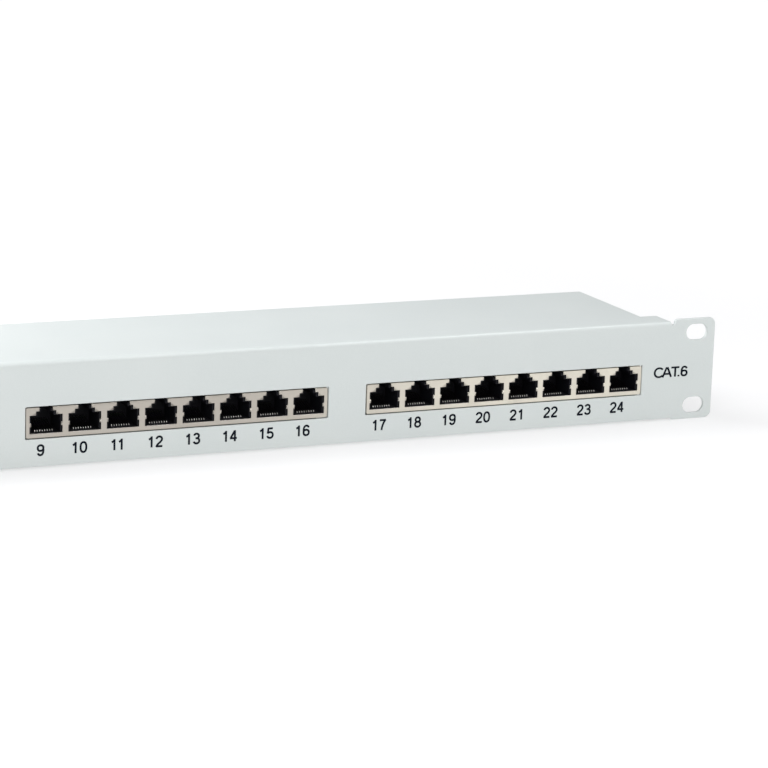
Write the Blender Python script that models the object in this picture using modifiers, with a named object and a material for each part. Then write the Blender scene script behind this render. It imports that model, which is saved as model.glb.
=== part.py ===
"""A shielded 24-port patch panel, one rack unit high, with a cable tray that slides out at the back.

Everything hangs from an empty at the centre of the front face: X runs to the right, Y back into
the rack and Z up. The cable tray and what is fixed to it hang from a second empty, on the way
that the tray slides. Lengths are in metres; names ending in _y or _z are places, measured from
the front face and from the middle of the panel's height.
"""

from math import cos, pi, radians, sin

import bmesh
import bpy
from mathutils import Matrix, Vector

MM = 0.001
GAP = 0.3 * MM  # between pieces that rest on each other
THREAD_GAP = 0.2 * MM  # round a screw in its bore

# Rack interface
PANEL_WIDTH = 482.6 * MM
PANEL_HEIGHT = 43.6 * MM
SLOT_SPACING_X = 465.1 * MM
SLOT_SPACING_Z = 31.75 * MM
SLOT_LENGTH = 10.0 * MM
SLOT_WIDTH = 6.8 * MM
EAR_CORNER = 3.0 * MM
EAR_INNER_X = 221.8 * MM
EAR_INNER_CORNER = 1.2 * MM
EAR_STEP = 0.5 * MM  # from the front's lower edge to the ear's

# Front hood, folded from one sheet
SHEET = 1.5 * MM
FOLD_RADIUS = 1.9 * MM  # on the outer face
FOLD_STEPS = 5
HOOD_TOP = 20.7 * MM
HOOD_BOTTOM = -21.1 * MM
STRIP_HALF_WIDTH = 220.4 * MM
STRIP_DEPTH = 14.2 * MM
BODY_HALF_WIDTH = 214.0 * MM
BODY_DEPTH = 70.0 * MM
SIDE_START_Y = 15.4 * MM
SIDE_BOTTOM = -20.6 * MM

# Banks of jacks
BANKS = "abc"
BANK_PITCH = 143.5 * MM
PORTS_PER_BANK = 8
PORT_PITCH = 15.73 * MM
CUTOUT_WIDTH = 127.1 * MM
CUTOUT_TOP = 2.85 * MM
CUTOUT_BOTTOM = -10.15 * MM

# Jack shield: a drawn metal box round each bank
SHIELD_SHEET = 0.4 * MM
SHIELD_WIDTH = 125.5 * MM
SHIELD_TOP = 2.5 * MM
SHIELD_BOTTOM = -9.8 * MM
SHIELD_FRONT_Y = 0.3 * MM
SHIELD_BACK_Y = 15.2 * MM
LATCH_NOTCH_Y = 3.2 * MM
SHIELD_HALF_WIDTHS = (6.65 * MM, 4.1 * MM, 2.7 * MM)  # of a socket: plug, latch, latch's tip
SHIELD_LEVELS = (-8.0 * MM, -0.65 * MM, 0.95 * MM)  # floor, step, shoulder
SPRING_TAB = (0.5 * MM, -5.2 * MM, -3.7 * MM)  # depth, low, high

# Jack housing: one moulding with eight sockets
HOUSING_FRONT_Y = 1.0 * MM
HOUSING_BACK_Y = 16.7 * MM
SOCKET_BACK_Y = 13.5 * MM
SOCKET_HALF_WIDTHS = (5.95 * MM, 3.3 * MM, 2.0 * MM)
SOCKET_LEVELS = (-7.95 * MM, -1.1 * MM, 0.5 * MM)

# Circuit board behind each bank
BOARD_WIDTH = 131.0 * MM
BOARD_TOP = 18.0 * MM
BOARD_BOTTOM = -17.5 * MM
BOARD_THICKNESS = 1.6 * MM
BOARD_FRONT_Y = HOUSING_BACK_Y + GAP
BOARD_SCREW_X = 55.0 * MM
BOARD_SCREW_Z = 15.3 * MM
BOARD_HOLE_RADIUS = 1.8 * MM
STANDOFF_RADIUS = 2.5 * MM
STANDOFF_THREAD_DEPTH = 6.0 * MM
BOARD_SCREW_RADIUS = 1.3 * MM
BOARD_SCREW_HEAD_RADIUS = 2.3 * MM
BOARD_SCREW_HEAD = 1.6 * MM
BOARD_SCREW_END_GAP = 1.0 * MM  # from the screw's end to the bottom of its thread

# Punch-down blocks, two rows of four behind each board
BLOCK_WIDTH = 30.9 * MM
BLOCK_HEIGHT = 11.0 * MM
BLOCK_BASE = 5.0 * MM
BLOCK_DEPTH = 13.6 * MM
BLOCK_WIRES = 8
BLOCK_SLOT = 1.2 * MM
BLOCK_TIP = 1.1 * MM
BLOCK_UPPER_Z = 7.0 * MM
BLOCK_LOWER_Z = -9.0 * MM

# Cable tray, folded from one sheet, its floor just behind the front's lower edge
TRAY_SHEET = 1.2 * MM
TRAY_FOLD_RADIUS = 2.0 * MM
TRAY_UNDERSIDE = -20.9 * MM
TRAY_HALF_WIDTH = BODY_HALF_WIDTH - SHEET - 0.4 * MM
TRAY_FRONT_Y = SHEET + GAP
TRAY_BACK_Y = 109.0 * MM
TRAY_CORNER = 6.0 * MM
TRAY_WALL_FRONT_Y = 20.0 * MM
TRAY_WALL_BACK_Y = 92.0 * MM
TRAY_WALL_TOP = -6.5 * MM
TRAY_WALL_SLOPE = 9.0 * MM
TRAY_WALL_TAIL = 3.5 * MM
TIE_POINTS = 12
TIE_PITCH = 33.0 * MM
TIE_Y = 100.0 * MM
TIE_STRAP_WIDTH = 5.6 * MM
TIE_STRAP_RISE = 2.6 * MM
TIE_STRAP_RAMP = 2.4 * MM
TIE_HOLE_WIDTH = 9.6 * MM
TIE_HOLE_LENGTH = 9.0 * MM
TIE_HOLE_RELIEF = 0.5 * MM

# Tray screws, two a side, in a slot that is open to the back
TRAY_SCREW_YS = (27.0 * MM, 61.0 * MM)
TRAY_SCREW_Z = -12.5 * MM
TRAY_SCREW_LENGTH = 4.8 * MM
SCREW_SHANK_RADIUS = 2.0 * MM
SCREW_HEAD_RADIUS = 3.9 * MM
SCREW_HEAD = 2.4 * MM
SIDE_SLOT_WIDTH = 5.0 * MM

# Earth stud on the tray
EARTH_X = 198.0 * MM
EARTH_Y = 82.0 * MM
EARTH_STUD_RADIUS = 2.0 * MM
EARTH_STUD_HEIGHT = 13.0 * MM
EARTH_WASHER_RADIUS = 4.5 * MM
EARTH_WASHER = 0.9 * MM
EARTH_NUT_RADIUS = 4.04 * MM  # to the corners of a 7 mm hexagon
EARTH_NUT = 3.2 * MM

ROUND_SIDES = 24
SCREW_SIDES = 16
OVERRUN = 2.0 * MM  # how far a cutter runs past the face it cuts


# scene and materials
def clear_scene():
    for obj in list(bpy.data.objects):
        bpy.data.objects.remove(obj)


def new_collection(name):
    made = bpy.data.collections.new(name)
    bpy.context.scene.collection.children.link(made)
    return made


def new_material(name, colour, roughness, metallic):
    made = bpy.data.materials.new(name)
    made.use_nodes = True
    shader = made.node_tree.nodes["Principled BSDF"]
    shader.inputs["Base Color"].default_value = (*colour, 1.0)
    shader.inputs["Roughness"].default_value = roughness
    shader.inputs["Metallic"].default_value = metallic
    made.diffuse_color = (*colour, 1.0)
    return made


clear_scene()
PANEL = new_collection("patch_panel")
CUTTERS = new_collection("cutters")
PAINT = new_material("light_grey_powder_coat", (0.66, 0.71, 0.70), 0.42, 0.0)
NICKEL = new_material("nickel_plate", (0.66, 0.62, 0.55), 0.32, 1.0)
BLACK_PLASTIC = new_material("black_plastic", (0.012, 0.012, 0.014), 0.45, 0.0)
BOARD_GREEN = new_material("board_green", (0.02, 0.16, 0.07), 0.35, 0.0)
WHITE_PLASTIC = new_material("white_plastic", (0.80, 0.79, 0.74), 0.4, 0.0)
ZINC = new_material("zinc_plate", (0.72, 0.73, 0.74), 0.3, 1.0)
BRASS = new_material("brass", (0.75, 0.55, 0.25), 0.3, 1.0)


# building blocks
def place(obj, collection, parent=None, material=None):
    for old in obj.users_collection:
        old.objects.unlink(obj)
    collection.objects.link(obj)
    obj.parent = parent
    if material is not None:
        obj.data.materials.clear()
        obj.data.materials.append(material)
    return obj


def box(name, low, high):
    """A box between two corners, its origin at its centre."""
    sizes = [b - a for a, b in zip(low, high)]
    mesh = bpy.data.meshes.new(name)
    bm = bmesh.new()
    bmesh.ops.create_cube(bm, size=1.0, matrix=Matrix.Diagonal((*sizes, 1.0)))
    bm.to_mesh(mesh)
    bm.free()
    obj = bpy.data.objects.new(name, mesh)
    obj.location = [(a + b) / 2 for a, b in zip(low, high)]
    return obj


def cylinder(name, radius, length, sides=ROUND_SIDES):
    """A round or many-sided bar along its own Z, its origin at its middle."""
    mesh = bpy.data.meshes.new(name)
    bm = bmesh.new()
    bmesh.ops.create_cone(
        bm, cap_ends=True, segments=sides, radius1=radius, radius2=radius, depth=length
    )
    bm.to_mesh(mesh)
    bm.free()
    return bpy.data.objects.new(name, mesh)


def outline_mesh(name, outlines, thickness):
    """A mesh in the XY plane from closed outlines; with no thickness it is one layer of faces."""
    curve = bpy.data.curves.new(name, "CURVE")
    curve.dimensions = "2D"
    curve.fill_mode = "BOTH"
    curve.extrude = thickness / 2
    for outline in outlines:
        spline = curve.splines.new("POLY")
        spline.points.add(len(outline) - 1)
        for point, (u, v) in zip(spline.points, outline):
            point.co = (u, v, 0.0, 1.0)
        spline.use_cyclic_u = True
    drawn = bpy.data.objects.new(name + "_outline", curve)
    bpy.context.scene.collection.objects.link(drawn)
    bpy.context.view_layer.update()
    graph = bpy.context.evaluated_depsgraph_get()
    mesh = bpy.data.meshes.new_from_object(drawn.evaluated_get(graph))
    bpy.data.objects.remove(drawn)
    bm = bmesh.new()
    bm.from_mesh(mesh)
    bmesh.ops.remove_doubles(bm, verts=bm.verts, dist=0.001 * MM)
    bmesh.ops.recalc_face_normals(bm, faces=bm.faces)
    bm.to_mesh(mesh)
    bm.free()
    return mesh


def outline_solid(name, outlines, thickness, turn=(0.0, 0.0, 0.0)):
    """A plate with this outline; turn brings its own XY plane to where it stands."""
    made = bpy.data.objects.new(name, outline_mesh(name, outlines, thickness))
    made.rotation_euler = turn
    return made


FRONT_VIEW = (radians(90), 0.0, 0.0)  # outline (u, v) becomes (x, z)


class Sheet:
    """The outer face of a folded sheet: flat outlines and the bends between them, then a thickness."""

    def __init__(self, name, thickness):
        self.name = name
        self.thickness = thickness
        self.bm = bmesh.new()

    def flat(self, outlines, origin, u_axis, v_axis):
        """Closed outlines in the plane through origin; an outline inside another is a hole."""
        u_axis, v_axis = Vector(u_axis), Vector(v_axis)
        turn = Matrix((u_axis, v_axis, u_axis.cross(v_axis))).transposed().to_4x4()
        mesh = outline_mesh(self.name, outlines, 0.0)
        mesh.transform(Matrix.Translation(origin) @ turn)
        self.bm.from_mesh(mesh)
        bpy.data.meshes.remove(mesh)

    def strip(self, first, second):
        """Faces between two lines of points that run side by side."""
        rows = [[self.bm.verts.new(point) for point in line] for line in (first, second)]
        for i in range(len(first) - 1):
            self.bm.faces.new((rows[0][i], rows[0][i + 1], rows[1][i + 1], rows[1][i]))

    def bend(self, start, end, radius, from_axis, to_axis):
        """A quarter bend about the line from start to end, from one direction to another."""
        from_axis, to_axis = Vector(from_axis), Vector(to_axis)
        lines = []
        for middle in (Vector(start), Vector(end)):
            steps = [pi / 2 * i / FOLD_STEPS for i in range(FOLD_STEPS + 1)]
            lines.append([middle + radius * (cos(a) * from_axis + sin(a) * to_axis) for a in steps])
        self.strip(*lines)

    def finish(self, outward_at, outward):
        """Joins the faces and adds the thickness behind the face nearest outward_at."""
        bm = self.bm
        bmesh.ops.remove_doubles(bm, verts=bm.verts, dist=0.001 * MM)
        bmesh.ops.dissolve_degenerate(bm, edges=bm.edges, dist=0.001 * MM)
        bmesh.ops.recalc_face_normals(bm, faces=bm.faces)
        here = Vector(outward_at)
        nearest = min(bm.faces, key=lambda face: (face.calc_center_median() - here).length)
        if nearest.normal.dot(Vector(outward)) < 0:
            bmesh.ops.reverse_faces(bm, faces=bm.faces)
        mesh = bpy.data.meshes.new(self.name)
        bm.to_mesh(mesh)
        bm.free()
        obj = bpy.data.objects.new(self.name, mesh)
        sheet = obj.modifiers.new("sheet", "SOLIDIFY")
        sheet.thickness = self.thickness
        sheet.offset = -1.0
        sheet.use_even_offset = True
        sheet.use_quality_normals = True
        return obj


def cut(obj, cutter):
    modifier = obj.modifiers.new(f"cut_{cutter.name}"[:60], "BOOLEAN")
    modifier.operation = "DIFFERENCE"
    modifier.solver = "EXACT"
    modifier.object = cutter
    place(cutter, CUTTERS, obj.parent)
    cutter.hide_render = True
    cutter.display_type = "WIRE"


def arc(centre, radius, start, end, steps):
    """Points on a circle from one angle to another, in degrees, ends included."""
    angles = [radians(start + (end - start) * i / steps) for i in range(steps + 1)]
    return [(centre[0] + radius * cos(a), centre[1] + radius * sin(a)) for a in angles]


def circle(centre, radius, steps):
    """A closed circle: its last point isn't its first again."""
    return arc(centre, radius, 0, 360 - 360 / steps, steps - 1)


def rectangle(u0, v0, u1, v1):
    return [(u0, v0), (u1, v0), (u1, v1), (u0, v1)]


def stadium(centre, length, width):
    """A slot with round ends, along u."""
    radius = width / 2
    reach = length / 2 - radius
    u, v = centre
    return arc((u + reach, v), radius, -90, 90, 8) + arc((u - reach, v), radius, 90, 270, 8)


def mirrored(outline):
    """The outline reflected in v, kept running the same way round."""
    return [(-u, v) for u, v in reversed(outline)]


def bank_x(bank):
    return (bank - 1) * BANK_PITCH


def port_x(bank, port):
    return bank_x(bank) + (port - (PORTS_PER_BANK - 1) / 2) * PORT_PITCH


# front hood
def front_outlines():
    """The front face with both ears, then its rack slots and its three bank openings."""
    edge = PANEL_WIDTH / 2
    half = PANEL_HEIGHT / 2
    fold_z = HOOD_TOP - FOLD_RADIUS
    inner = EAR_INNER_X + EAR_INNER_CORNER
    right = [
        (EAR_INNER_X - EAR_STEP, HOOD_BOTTOM),
        *arc((inner, EAR_INNER_CORNER - half), EAR_INNER_CORNER, 195, 270, 3),
        *arc((edge - EAR_CORNER, EAR_CORNER - half), EAR_CORNER, -90, 0, 5),
        *arc((edge - EAR_CORNER, half - EAR_CORNER), EAR_CORNER, 0, 90, 5),
        *arc((inner, half - EAR_INNER_CORNER), EAR_INNER_CORNER, 90, 180, 3),
        (EAR_INNER_X, fold_z),
        (STRIP_HALF_WIDTH, fold_z),
    ]
    outlines = [right + mirrored(right)]
    for x in (-SLOT_SPACING_X / 2, SLOT_SPACING_X / 2):
        for z in (-SLOT_SPACING_Z / 2, SLOT_SPACING_Z / 2):
            outlines.append(stadium((x, z), SLOT_LENGTH, SLOT_WIDTH))
    for bank in range(len(BANKS)):
        left = bank_x(bank) - CUTOUT_WIDTH / 2
        outlines.append(rectangle(left, CUTOUT_BOTTOM, left + CUTOUT_WIDTH, CUTOUT_TOP))
    return outlines


def top_outline():
    """The top plate: a wide strip behind the front fold, then the narrower body."""
    fold_x = BODY_HALF_WIDTH - FOLD_RADIUS
    right = [
        (STRIP_HALF_WIDTH, FOLD_RADIUS),
        (STRIP_HALF_WIDTH, STRIP_DEPTH),
        (fold_x, STRIP_DEPTH),
        (fold_x, SIDE_START_Y),
        (fold_x, BODY_DEPTH),
    ]
    return right + mirrored(right)


def side_outline():
    """A side wall in (y, z), with the slot for the tray's screws open to the back."""
    half = SIDE_SLOT_WIDTH / 2
    front_screw = (TRAY_SCREW_YS[0], TRAY_SCREW_Z)
    return [
        (SIDE_START_Y, HOOD_TOP - FOLD_RADIUS),
        (SIDE_START_Y, SIDE_BOTTOM),
        (BODY_DEPTH, SIDE_BOTTOM),
        (BODY_DEPTH, TRAY_SCREW_Z - half),
        *reversed(arc(front_screw, half, 90, 270, 8)),
        (BODY_DEPTH, TRAY_SCREW_Z + half),
        (BODY_DEPTH, HOOD_TOP - FOLD_RADIUS),
    ]


def make_front_hood(parent):
    """Front, ears, top and sides: one sheet with three folds."""
    sheet = Sheet("front_hood", SHEET)
    sheet.flat(front_outlines(), (0, 0, 0), (1, 0, 0), (0, 0, 1))
    sheet.flat([top_outline()], (0, 0, HOOD_TOP), (1, 0, 0), (0, 1, 0))
    fold_z = HOOD_TOP - FOLD_RADIUS
    sheet.bend(
        (-STRIP_HALF_WIDTH, FOLD_RADIUS, fold_z),
        (STRIP_HALF_WIDTH, FOLD_RADIUS, fold_z),
        FOLD_RADIUS,
        (0, -1, 0),
        (0, 0, 1),
    )
    for side in (-1, 1):
        fold_x = side * (BODY_HALF_WIDTH - FOLD_RADIUS)
        sheet.bend(
            (fold_x, SIDE_START_Y, fold_z),
            (fold_x, BODY_DEPTH, fold_z),
            FOLD_RADIUS,
            (0, 0, 1),
            (side, 0, 0),
        )
        sheet.flat([side_outline()], (side * BODY_HALF_WIDTH, 0, 0), (0, 1, 0), (0, 0, 1))
    hood = sheet.finish((0.0, 0.0, (CUTOUT_TOP + HOOD_TOP) / 2), (0, -1, 0))
    return place(hood, PANEL, parent, PAINT)


# banks of jacks
def socket_outline(centre, half_widths, levels, tab=None):
    """The stepped opening of one socket: wide for the plug, narrower twice above for its latch.

    tab is (depth, low, high) of a spring tab that stands into the opening at each side.
    """
    wide, middle, narrow = half_widths
    floor, step, shoulder, top = levels
    right = [(wide, floor)]
    if tab:
        depth, low, high = tab
        right += [(wide, low), (wide - depth, low), (wide - depth, high), (wide, high)]
    right += [(wide, step), (middle, step), (middle, shoulder), (narrow, shoulder), (narrow, top)]
    left = [(-u, v) for u, v in reversed(right)]
    return [(centre + u, v) for u, v in right + left]


def make_shield(bank, parent):
    """A thin metal box, open at the back, with eight stepped openings in its face."""
    half = SHIELD_WIDTH / 2
    shield = box(
        f"jack_shield_{BANKS[bank]}",
        (bank_x(bank) - half, SHIELD_FRONT_Y, SHIELD_BOTTOM),
        (bank_x(bank) + half, SHIELD_BACK_Y, SHIELD_TOP),
    )
    bm = bmesh.new()
    bm.from_mesh(shield.data)
    back = [face for face in bm.faces if face.normal.y > 0.5]
    bmesh.ops.delete(bm, geom=back, context="FACES_ONLY")
    bm.to_mesh(shield.data)
    bm.free()
    sheet = shield.modifiers.new("sheet", "SOLIDIFY")
    sheet.thickness = SHIELD_SHEET
    sheet.offset = -1.0
    sheet.use_even_offset = True
    place(shield, PANEL, parent, NICKEL)

    levels = (*SHIELD_LEVELS, SHIELD_TOP + OVERRUN)
    outlines = [
        socket_outline(port_x(bank, port), SHIELD_HALF_WIDTHS, levels, SPRING_TAB)
        for port in range(PORTS_PER_BANK)
    ]
    depth = LATCH_NOTCH_Y + OVERRUN
    openings = outline_solid(f"shield_openings_{BANKS[bank]}", outlines, depth, FRONT_VIEW)
    openings.location = (0.0, LATCH_NOTCH_Y - depth / 2, 0.0)
    cut(shield, openings)
    return shield


def make_housing(bank, parent):
    """The black moulding inside the shield: eight sockets, each open above for the plug's latch."""
    wall = SHIELD_SHEET + GAP
    half = SHIELD_WIDTH / 2 - wall
    top = SHIELD_TOP - wall
    housing = box(
        f"jack_housing_{BANKS[bank]}",
        (bank_x(bank) - half, HOUSING_FRONT_Y, SHIELD_BOTTOM + wall),
        (bank_x(bank) + half, HOUSING_BACK_Y, top),
    )
    place(housing, PANEL, parent, BLACK_PLASTIC)
    levels = (*SOCKET_LEVELS, top + OVERRUN)
    outlines = [
        socket_outline(port_x(bank, port), SOCKET_HALF_WIDTHS, levels) for port in range(PORTS_PER_BANK)
    ]
    depth = SOCKET_BACK_Y - HOUSING_FRONT_Y + OVERRUN
    sockets = outline_solid(f"sockets_{BANKS[bank]}", outlines, depth, FRONT_VIEW)
    sockets.location = (0.0, SOCKET_BACK_Y - depth / 2, 0.0)
    cut(housing, sockets)
    return housing


# boards and punch-down blocks
def make_board(bank, parent):
    half = BOARD_WIDTH / 2
    centre = bank_x(bank)
    outlines = [rectangle(centre - half, BOARD_BOTTOM, centre + half, BOARD_TOP)]
    for side in (-1, 1):
        hole = (centre + side * BOARD_SCREW_X, BOARD_SCREW_Z)
        outlines.append(circle(hole, BOARD_HOLE_RADIUS, 16))
    board = outline_solid(f"circuit_board_{BANKS[bank]}", outlines, BOARD_THICKNESS, FRONT_VIEW)
    board.location = (0.0, BOARD_FRONT_Y + BOARD_THICKNESS / 2, 0.0)
    return place(board, PANEL, parent, BOARD_GREEN)


def block_outline():
    """A comb seen from above: a base along X, and posts with bevelled tips behind it."""
    pitch = (BLOCK_WIDTH - BLOCK_SLOT) / BLOCK_WIRES
    half = BLOCK_WIDTH / 2
    points = [(half, 0.0)]
    for wire in range(BLOCK_WIRES + 1):
        right = half if wire == 0 else half - (wire - 0.5) * pitch - BLOCK_SLOT
        left = -half if wire == BLOCK_WIRES else half - (wire + 0.5) * pitch
        middle = (right + left) / 2
        if wire:
            points.append((right, BLOCK_BASE))
        points.append((right, BLOCK_DEPTH - BLOCK_TIP))
        points.append((middle, BLOCK_DEPTH))
        points.append((left, BLOCK_DEPTH - BLOCK_TIP))
        if wire < BLOCK_WIRES:
            points.append((left, BLOCK_BASE))
    points.append((-half, 0.0))
    return points


def make_blocks(parent):
    """Twenty-four wire-termination blocks that share one mesh, one for each port."""
    first = outline_solid("block_shape", [block_outline()], BLOCK_HEIGHT)
    first.data.materials.append(WHITE_PLASTIC)
    back_y = BOARD_FRONT_Y + BOARD_THICKNESS + GAP
    number = 0
    for bank in range(len(BANKS)):
        for column in range(PORTS_PER_BANK // 2):
            x = (port_x(bank, 2 * column) + port_x(bank, 2 * column + 1)) / 2
            for z in (BLOCK_UPPER_Z, BLOCK_LOWER_Z):
                number += 1
                block = bpy.data.objects.new(f"punch_block_{number:02d}", first.data)
                block.location = (x, back_y, z)
                place(block, PANEL, parent)
    bpy.data.objects.remove(first)


def make_board_fixings(bank, side, parent):
    """A standoff between the front and the board, and the screw that holds the board to it."""
    label = f"{BANKS[bank]}_{'right' if side > 0 else 'left'}"
    x = bank_x(bank) + side * BOARD_SCREW_X
    front = SHEET + GAP
    back = BOARD_FRONT_Y - GAP
    standoff = cylinder(f"standoff_{label}", STANDOFF_RADIUS, back - front, 6)
    standoff.rotation_euler = (radians(90), 0.0, 0.0)
    standoff.location = (x, (front + back) / 2, BOARD_SCREW_Z)
    place(standoff, PANEL, parent, BRASS)
    bore = bored_at(f"thread_{label}", standoff, BOARD_SCREW_RADIUS + THREAD_GAP, STANDOFF_THREAD_DEPTH, back)
    cut(standoff, bore)

    seat = BOARD_FRONT_Y + BOARD_THICKNESS + GAP
    shank = BOARD_THICKNESS + STANDOFF_THREAD_DEPTH - BOARD_SCREW_END_GAP
    screw = pan_screw(
        f"board_screw_{label}", BOARD_SCREW_RADIUS, shank, BOARD_SCREW_HEAD_RADIUS, BOARD_SCREW_HEAD
    )
    screw.rotation_euler = (radians(-90), 0.0, 0.0)
    screw.location = (x, seat, BOARD_SCREW_Z)
    place(screw, PANEL, parent, ZINC)


def bored_at(name, host, radius, length, mouth_y):
    """A round cutter along Y that enters the host's back face."""
    cutter = cylinder(name, radius, length + OVERRUN, SCREW_SIDES)
    cutter.rotation_euler = host.rotation_euler
    cutter.location = (host.location.x, mouth_y + OVERRUN - (length + OVERRUN) / 2, host.location.z)
    return cutter


def pan_screw(name, shank_radius, shank_length, head_radius, head_height):
    """A screw along its own Z, as a turned profile: shank below its origin, domed head above.

    The dome follows a circle from straight up to rim_angle, then drops to the seat.
    """
    profile = [(0.0, head_height)]
    dome_steps, rim_angle, rim_height = 3, radians(30), 0.35 * head_height
    for i in range(1, dome_steps + 1):
        angle = pi / 2 - (pi / 2 - rim_angle) * i / dome_steps
        radius = head_radius * cos(angle) / cos(rim_angle)
        rise = (sin(angle) - sin(rim_angle)) / (1 - sin(rim_angle))
        profile.append((radius, rim_height + (head_height - rim_height) * rise))
    profile += [
        (head_radius, 0.0),
        (shank_radius, 0.0),
        (shank_radius, -shank_length),
        (0.0, -shank_length),
    ]
    mesh = bpy.data.meshes.new(name)
    bm = bmesh.new()
    verts = [bm.verts.new((x, 0.0, z)) for x, z in profile]
    for a, b in zip(verts, verts[1:]):
        bm.edges.new((a, b))
    bm.to_mesh(mesh)
    bm.free()
    screw = bpy.data.objects.new(name, mesh)
    turned = screw.modifiers.new("turned", "SCREW")
    turned.steps = SCREW_SIDES
    turned.render_steps = SCREW_SIDES
    turned.use_merge_vertices = True
    turned.merge_threshold = 0.00001
    turned.use_smooth_shade = False
    return screw


# cable tray
def tie_x(index):
    return (index - (TIE_POINTS - 1) / 2) * TIE_PITCH


def tie_hole(index):
    """The hole round a lanced strap: it reaches a little further beside the strap than at its roots."""
    x, root, corner = tie_x(index), TIE_HOLE_LENGTH / 2, TIE_HOLE_LENGTH / 2 + TIE_HOLE_RELIEF
    wide, strap = TIE_HOLE_WIDTH / 2, TIE_STRAP_WIDTH / 2
    front = [(-wide, -corner), (-strap, -root), (strap, -root), (wide, -corner)]
    back = [(-u, -v) for u, v in front]
    return [(x + u, TIE_Y + v) for u, v in front + back]


def tray_wall_outline():
    """One upright side in (y, z), lower towards the back."""
    fold_z = TRAY_UNDERSIDE + TRAY_FOLD_RADIUS
    return [
        (TRAY_WALL_FRONT_Y, fold_z),
        (TRAY_WALL_BACK_Y, fold_z),
        (TRAY_WALL_BACK_Y, fold_z + TRAY_WALL_TAIL),
        (TRAY_WALL_BACK_Y - TRAY_WALL_SLOPE, TRAY_WALL_TOP),
        (TRAY_WALL_FRONT_Y, TRAY_WALL_TOP),
    ]


def tray_floor_outline():
    fold_x = TRAY_HALF_WIDTH - TRAY_FOLD_RADIUS
    corner = (fold_x - TRAY_CORNER, TRAY_BACK_Y - TRAY_CORNER)
    right = [
        (fold_x, TRAY_FRONT_Y),
        (fold_x, TRAY_WALL_FRONT_Y),
        (fold_x, TRAY_WALL_BACK_Y),
        *arc(corner, TRAY_CORNER, 0, 90, 5),
    ]
    return right + mirrored(right)


def make_cable_tray(parent):
    """The tray under the boards: a floor with twelve lanced tie straps, and two low sides."""
    sheet = Sheet("cable_tray", TRAY_SHEET)
    holes = [tie_hole(index) for index in range(TIE_POINTS)]
    sheet.flat([tray_floor_outline(), *holes], (0, 0, TRAY_UNDERSIDE), (1, 0, 0), (0, 1, 0))
    for index in range(TIE_POINTS):
        front, back = TIE_Y - TIE_HOLE_LENGTH / 2, TIE_Y + TIE_HOLE_LENGTH / 2
        level, top = TRAY_UNDERSIDE, TRAY_UNDERSIDE + TIE_STRAP_RISE
        profile = [
            (front, level),
            (front + TIE_STRAP_RAMP, top),
            (back - TIE_STRAP_RAMP, top),
            (back, level),
        ]
        edges = [tie_x(index) + side * TIE_STRAP_WIDTH / 2 for side in (-1, 1)]
        sheet.strip(*[[(x, y, z) for y, z in profile] for x in edges])
    fold_z = TRAY_UNDERSIDE + TRAY_FOLD_RADIUS
    screw_holes = [
        circle((y, TRAY_SCREW_Z), SCREW_SHANK_RADIUS + GAP, 12) for y in TRAY_SCREW_YS
    ]
    for side in (-1, 1):
        fold_x = side * (TRAY_HALF_WIDTH - TRAY_FOLD_RADIUS)
        sheet.bend(
            (fold_x, TRAY_WALL_FRONT_Y, fold_z),
            (fold_x, TRAY_WALL_BACK_Y, fold_z),
            TRAY_FOLD_RADIUS,
            (0, 0, -1),
            (side, 0, 0),
        )
        outlines = [tray_wall_outline(), *screw_holes]
        sheet.flat(outlines, (side * TRAY_HALF_WIDTH, 0, 0), (0, 1, 0), (0, 0, 1))
    tray = sheet.finish((0.0, TRAY_BACK_Y / 2, TRAY_UNDERSIDE), (0, 0, -1))
    return place(tray, PANEL, parent, PAINT)


def make_tray_screws(parent):
    for side, side_name in ((-1, "left"), (1, "right")):
        for y, end in zip(TRAY_SCREW_YS, ("front", "rear")):
            name = f"tray_screw_{side_name}_{end}"
            screw = pan_screw(name, SCREW_SHANK_RADIUS, TRAY_SCREW_LENGTH, SCREW_HEAD_RADIUS, SCREW_HEAD)
            screw.rotation_euler = (0.0, side * radians(90), 0.0)
            screw.location = (side * (BODY_HALF_WIDTH + GAP), y, TRAY_SCREW_Z)
            place(screw, PANEL, parent, ZINC)


def make_earth_terminal(parent):
    """A stud on the tray's floor, with a washer and a nut for the earth lead."""
    floor = TRAY_UNDERSIDE + TRAY_SHEET + GAP
    stud = cylinder("earth_stud", EARTH_STUD_RADIUS, EARTH_STUD_HEIGHT)
    stud.location = (EARTH_X, EARTH_Y, floor + EARTH_STUD_HEIGHT / 2)
    place(stud, PANEL, parent, ZINC)
    centre = (0.0, 0.0)
    bore = circle(centre, EARTH_STUD_RADIUS + GAP, ROUND_SIDES)
    rings = (
        ("earth_washer", circle(centre, EARTH_WASHER_RADIUS, ROUND_SIDES), EARTH_WASHER, ZINC),
        ("earth_nut", circle(centre, EARTH_NUT_RADIUS, 6), EARTH_NUT, BRASS),
    )
    level = floor
    for name, outline, height, material in rings:
        ring = outline_solid(name, [outline, bore], height)
        ring.location = (EARTH_X, EARTH_Y, level + height / 2)
        place(ring, PANEL, parent, material)
        level += height + GAP


# assembly
def make_panel():
    datum = bpy.data.objects.new("front_face_centre", None)
    datum.location = (0.0, -TRAY_BACK_Y / 2, PANEL_HEIGHT / 2)
    PANEL.objects.link(datum)
    slide = bpy.data.objects.new("tray_slide", None)
    slide.parent = datum
    PANEL.objects.link(slide)
    bpy.context.view_layer.update()

    make_front_hood(datum)
    for bank in range(len(BANKS)):
        make_shield(bank, datum)
        make_housing(bank, datum)
        make_board(bank, datum)
        for side in (-1, 1):
            make_board_fixings(bank, side, datum)
    make_blocks(datum)
    make_cable_tray(slide)
    make_tray_screws(slide)
    make_earth_terminal(slide)


make_panel()
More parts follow.
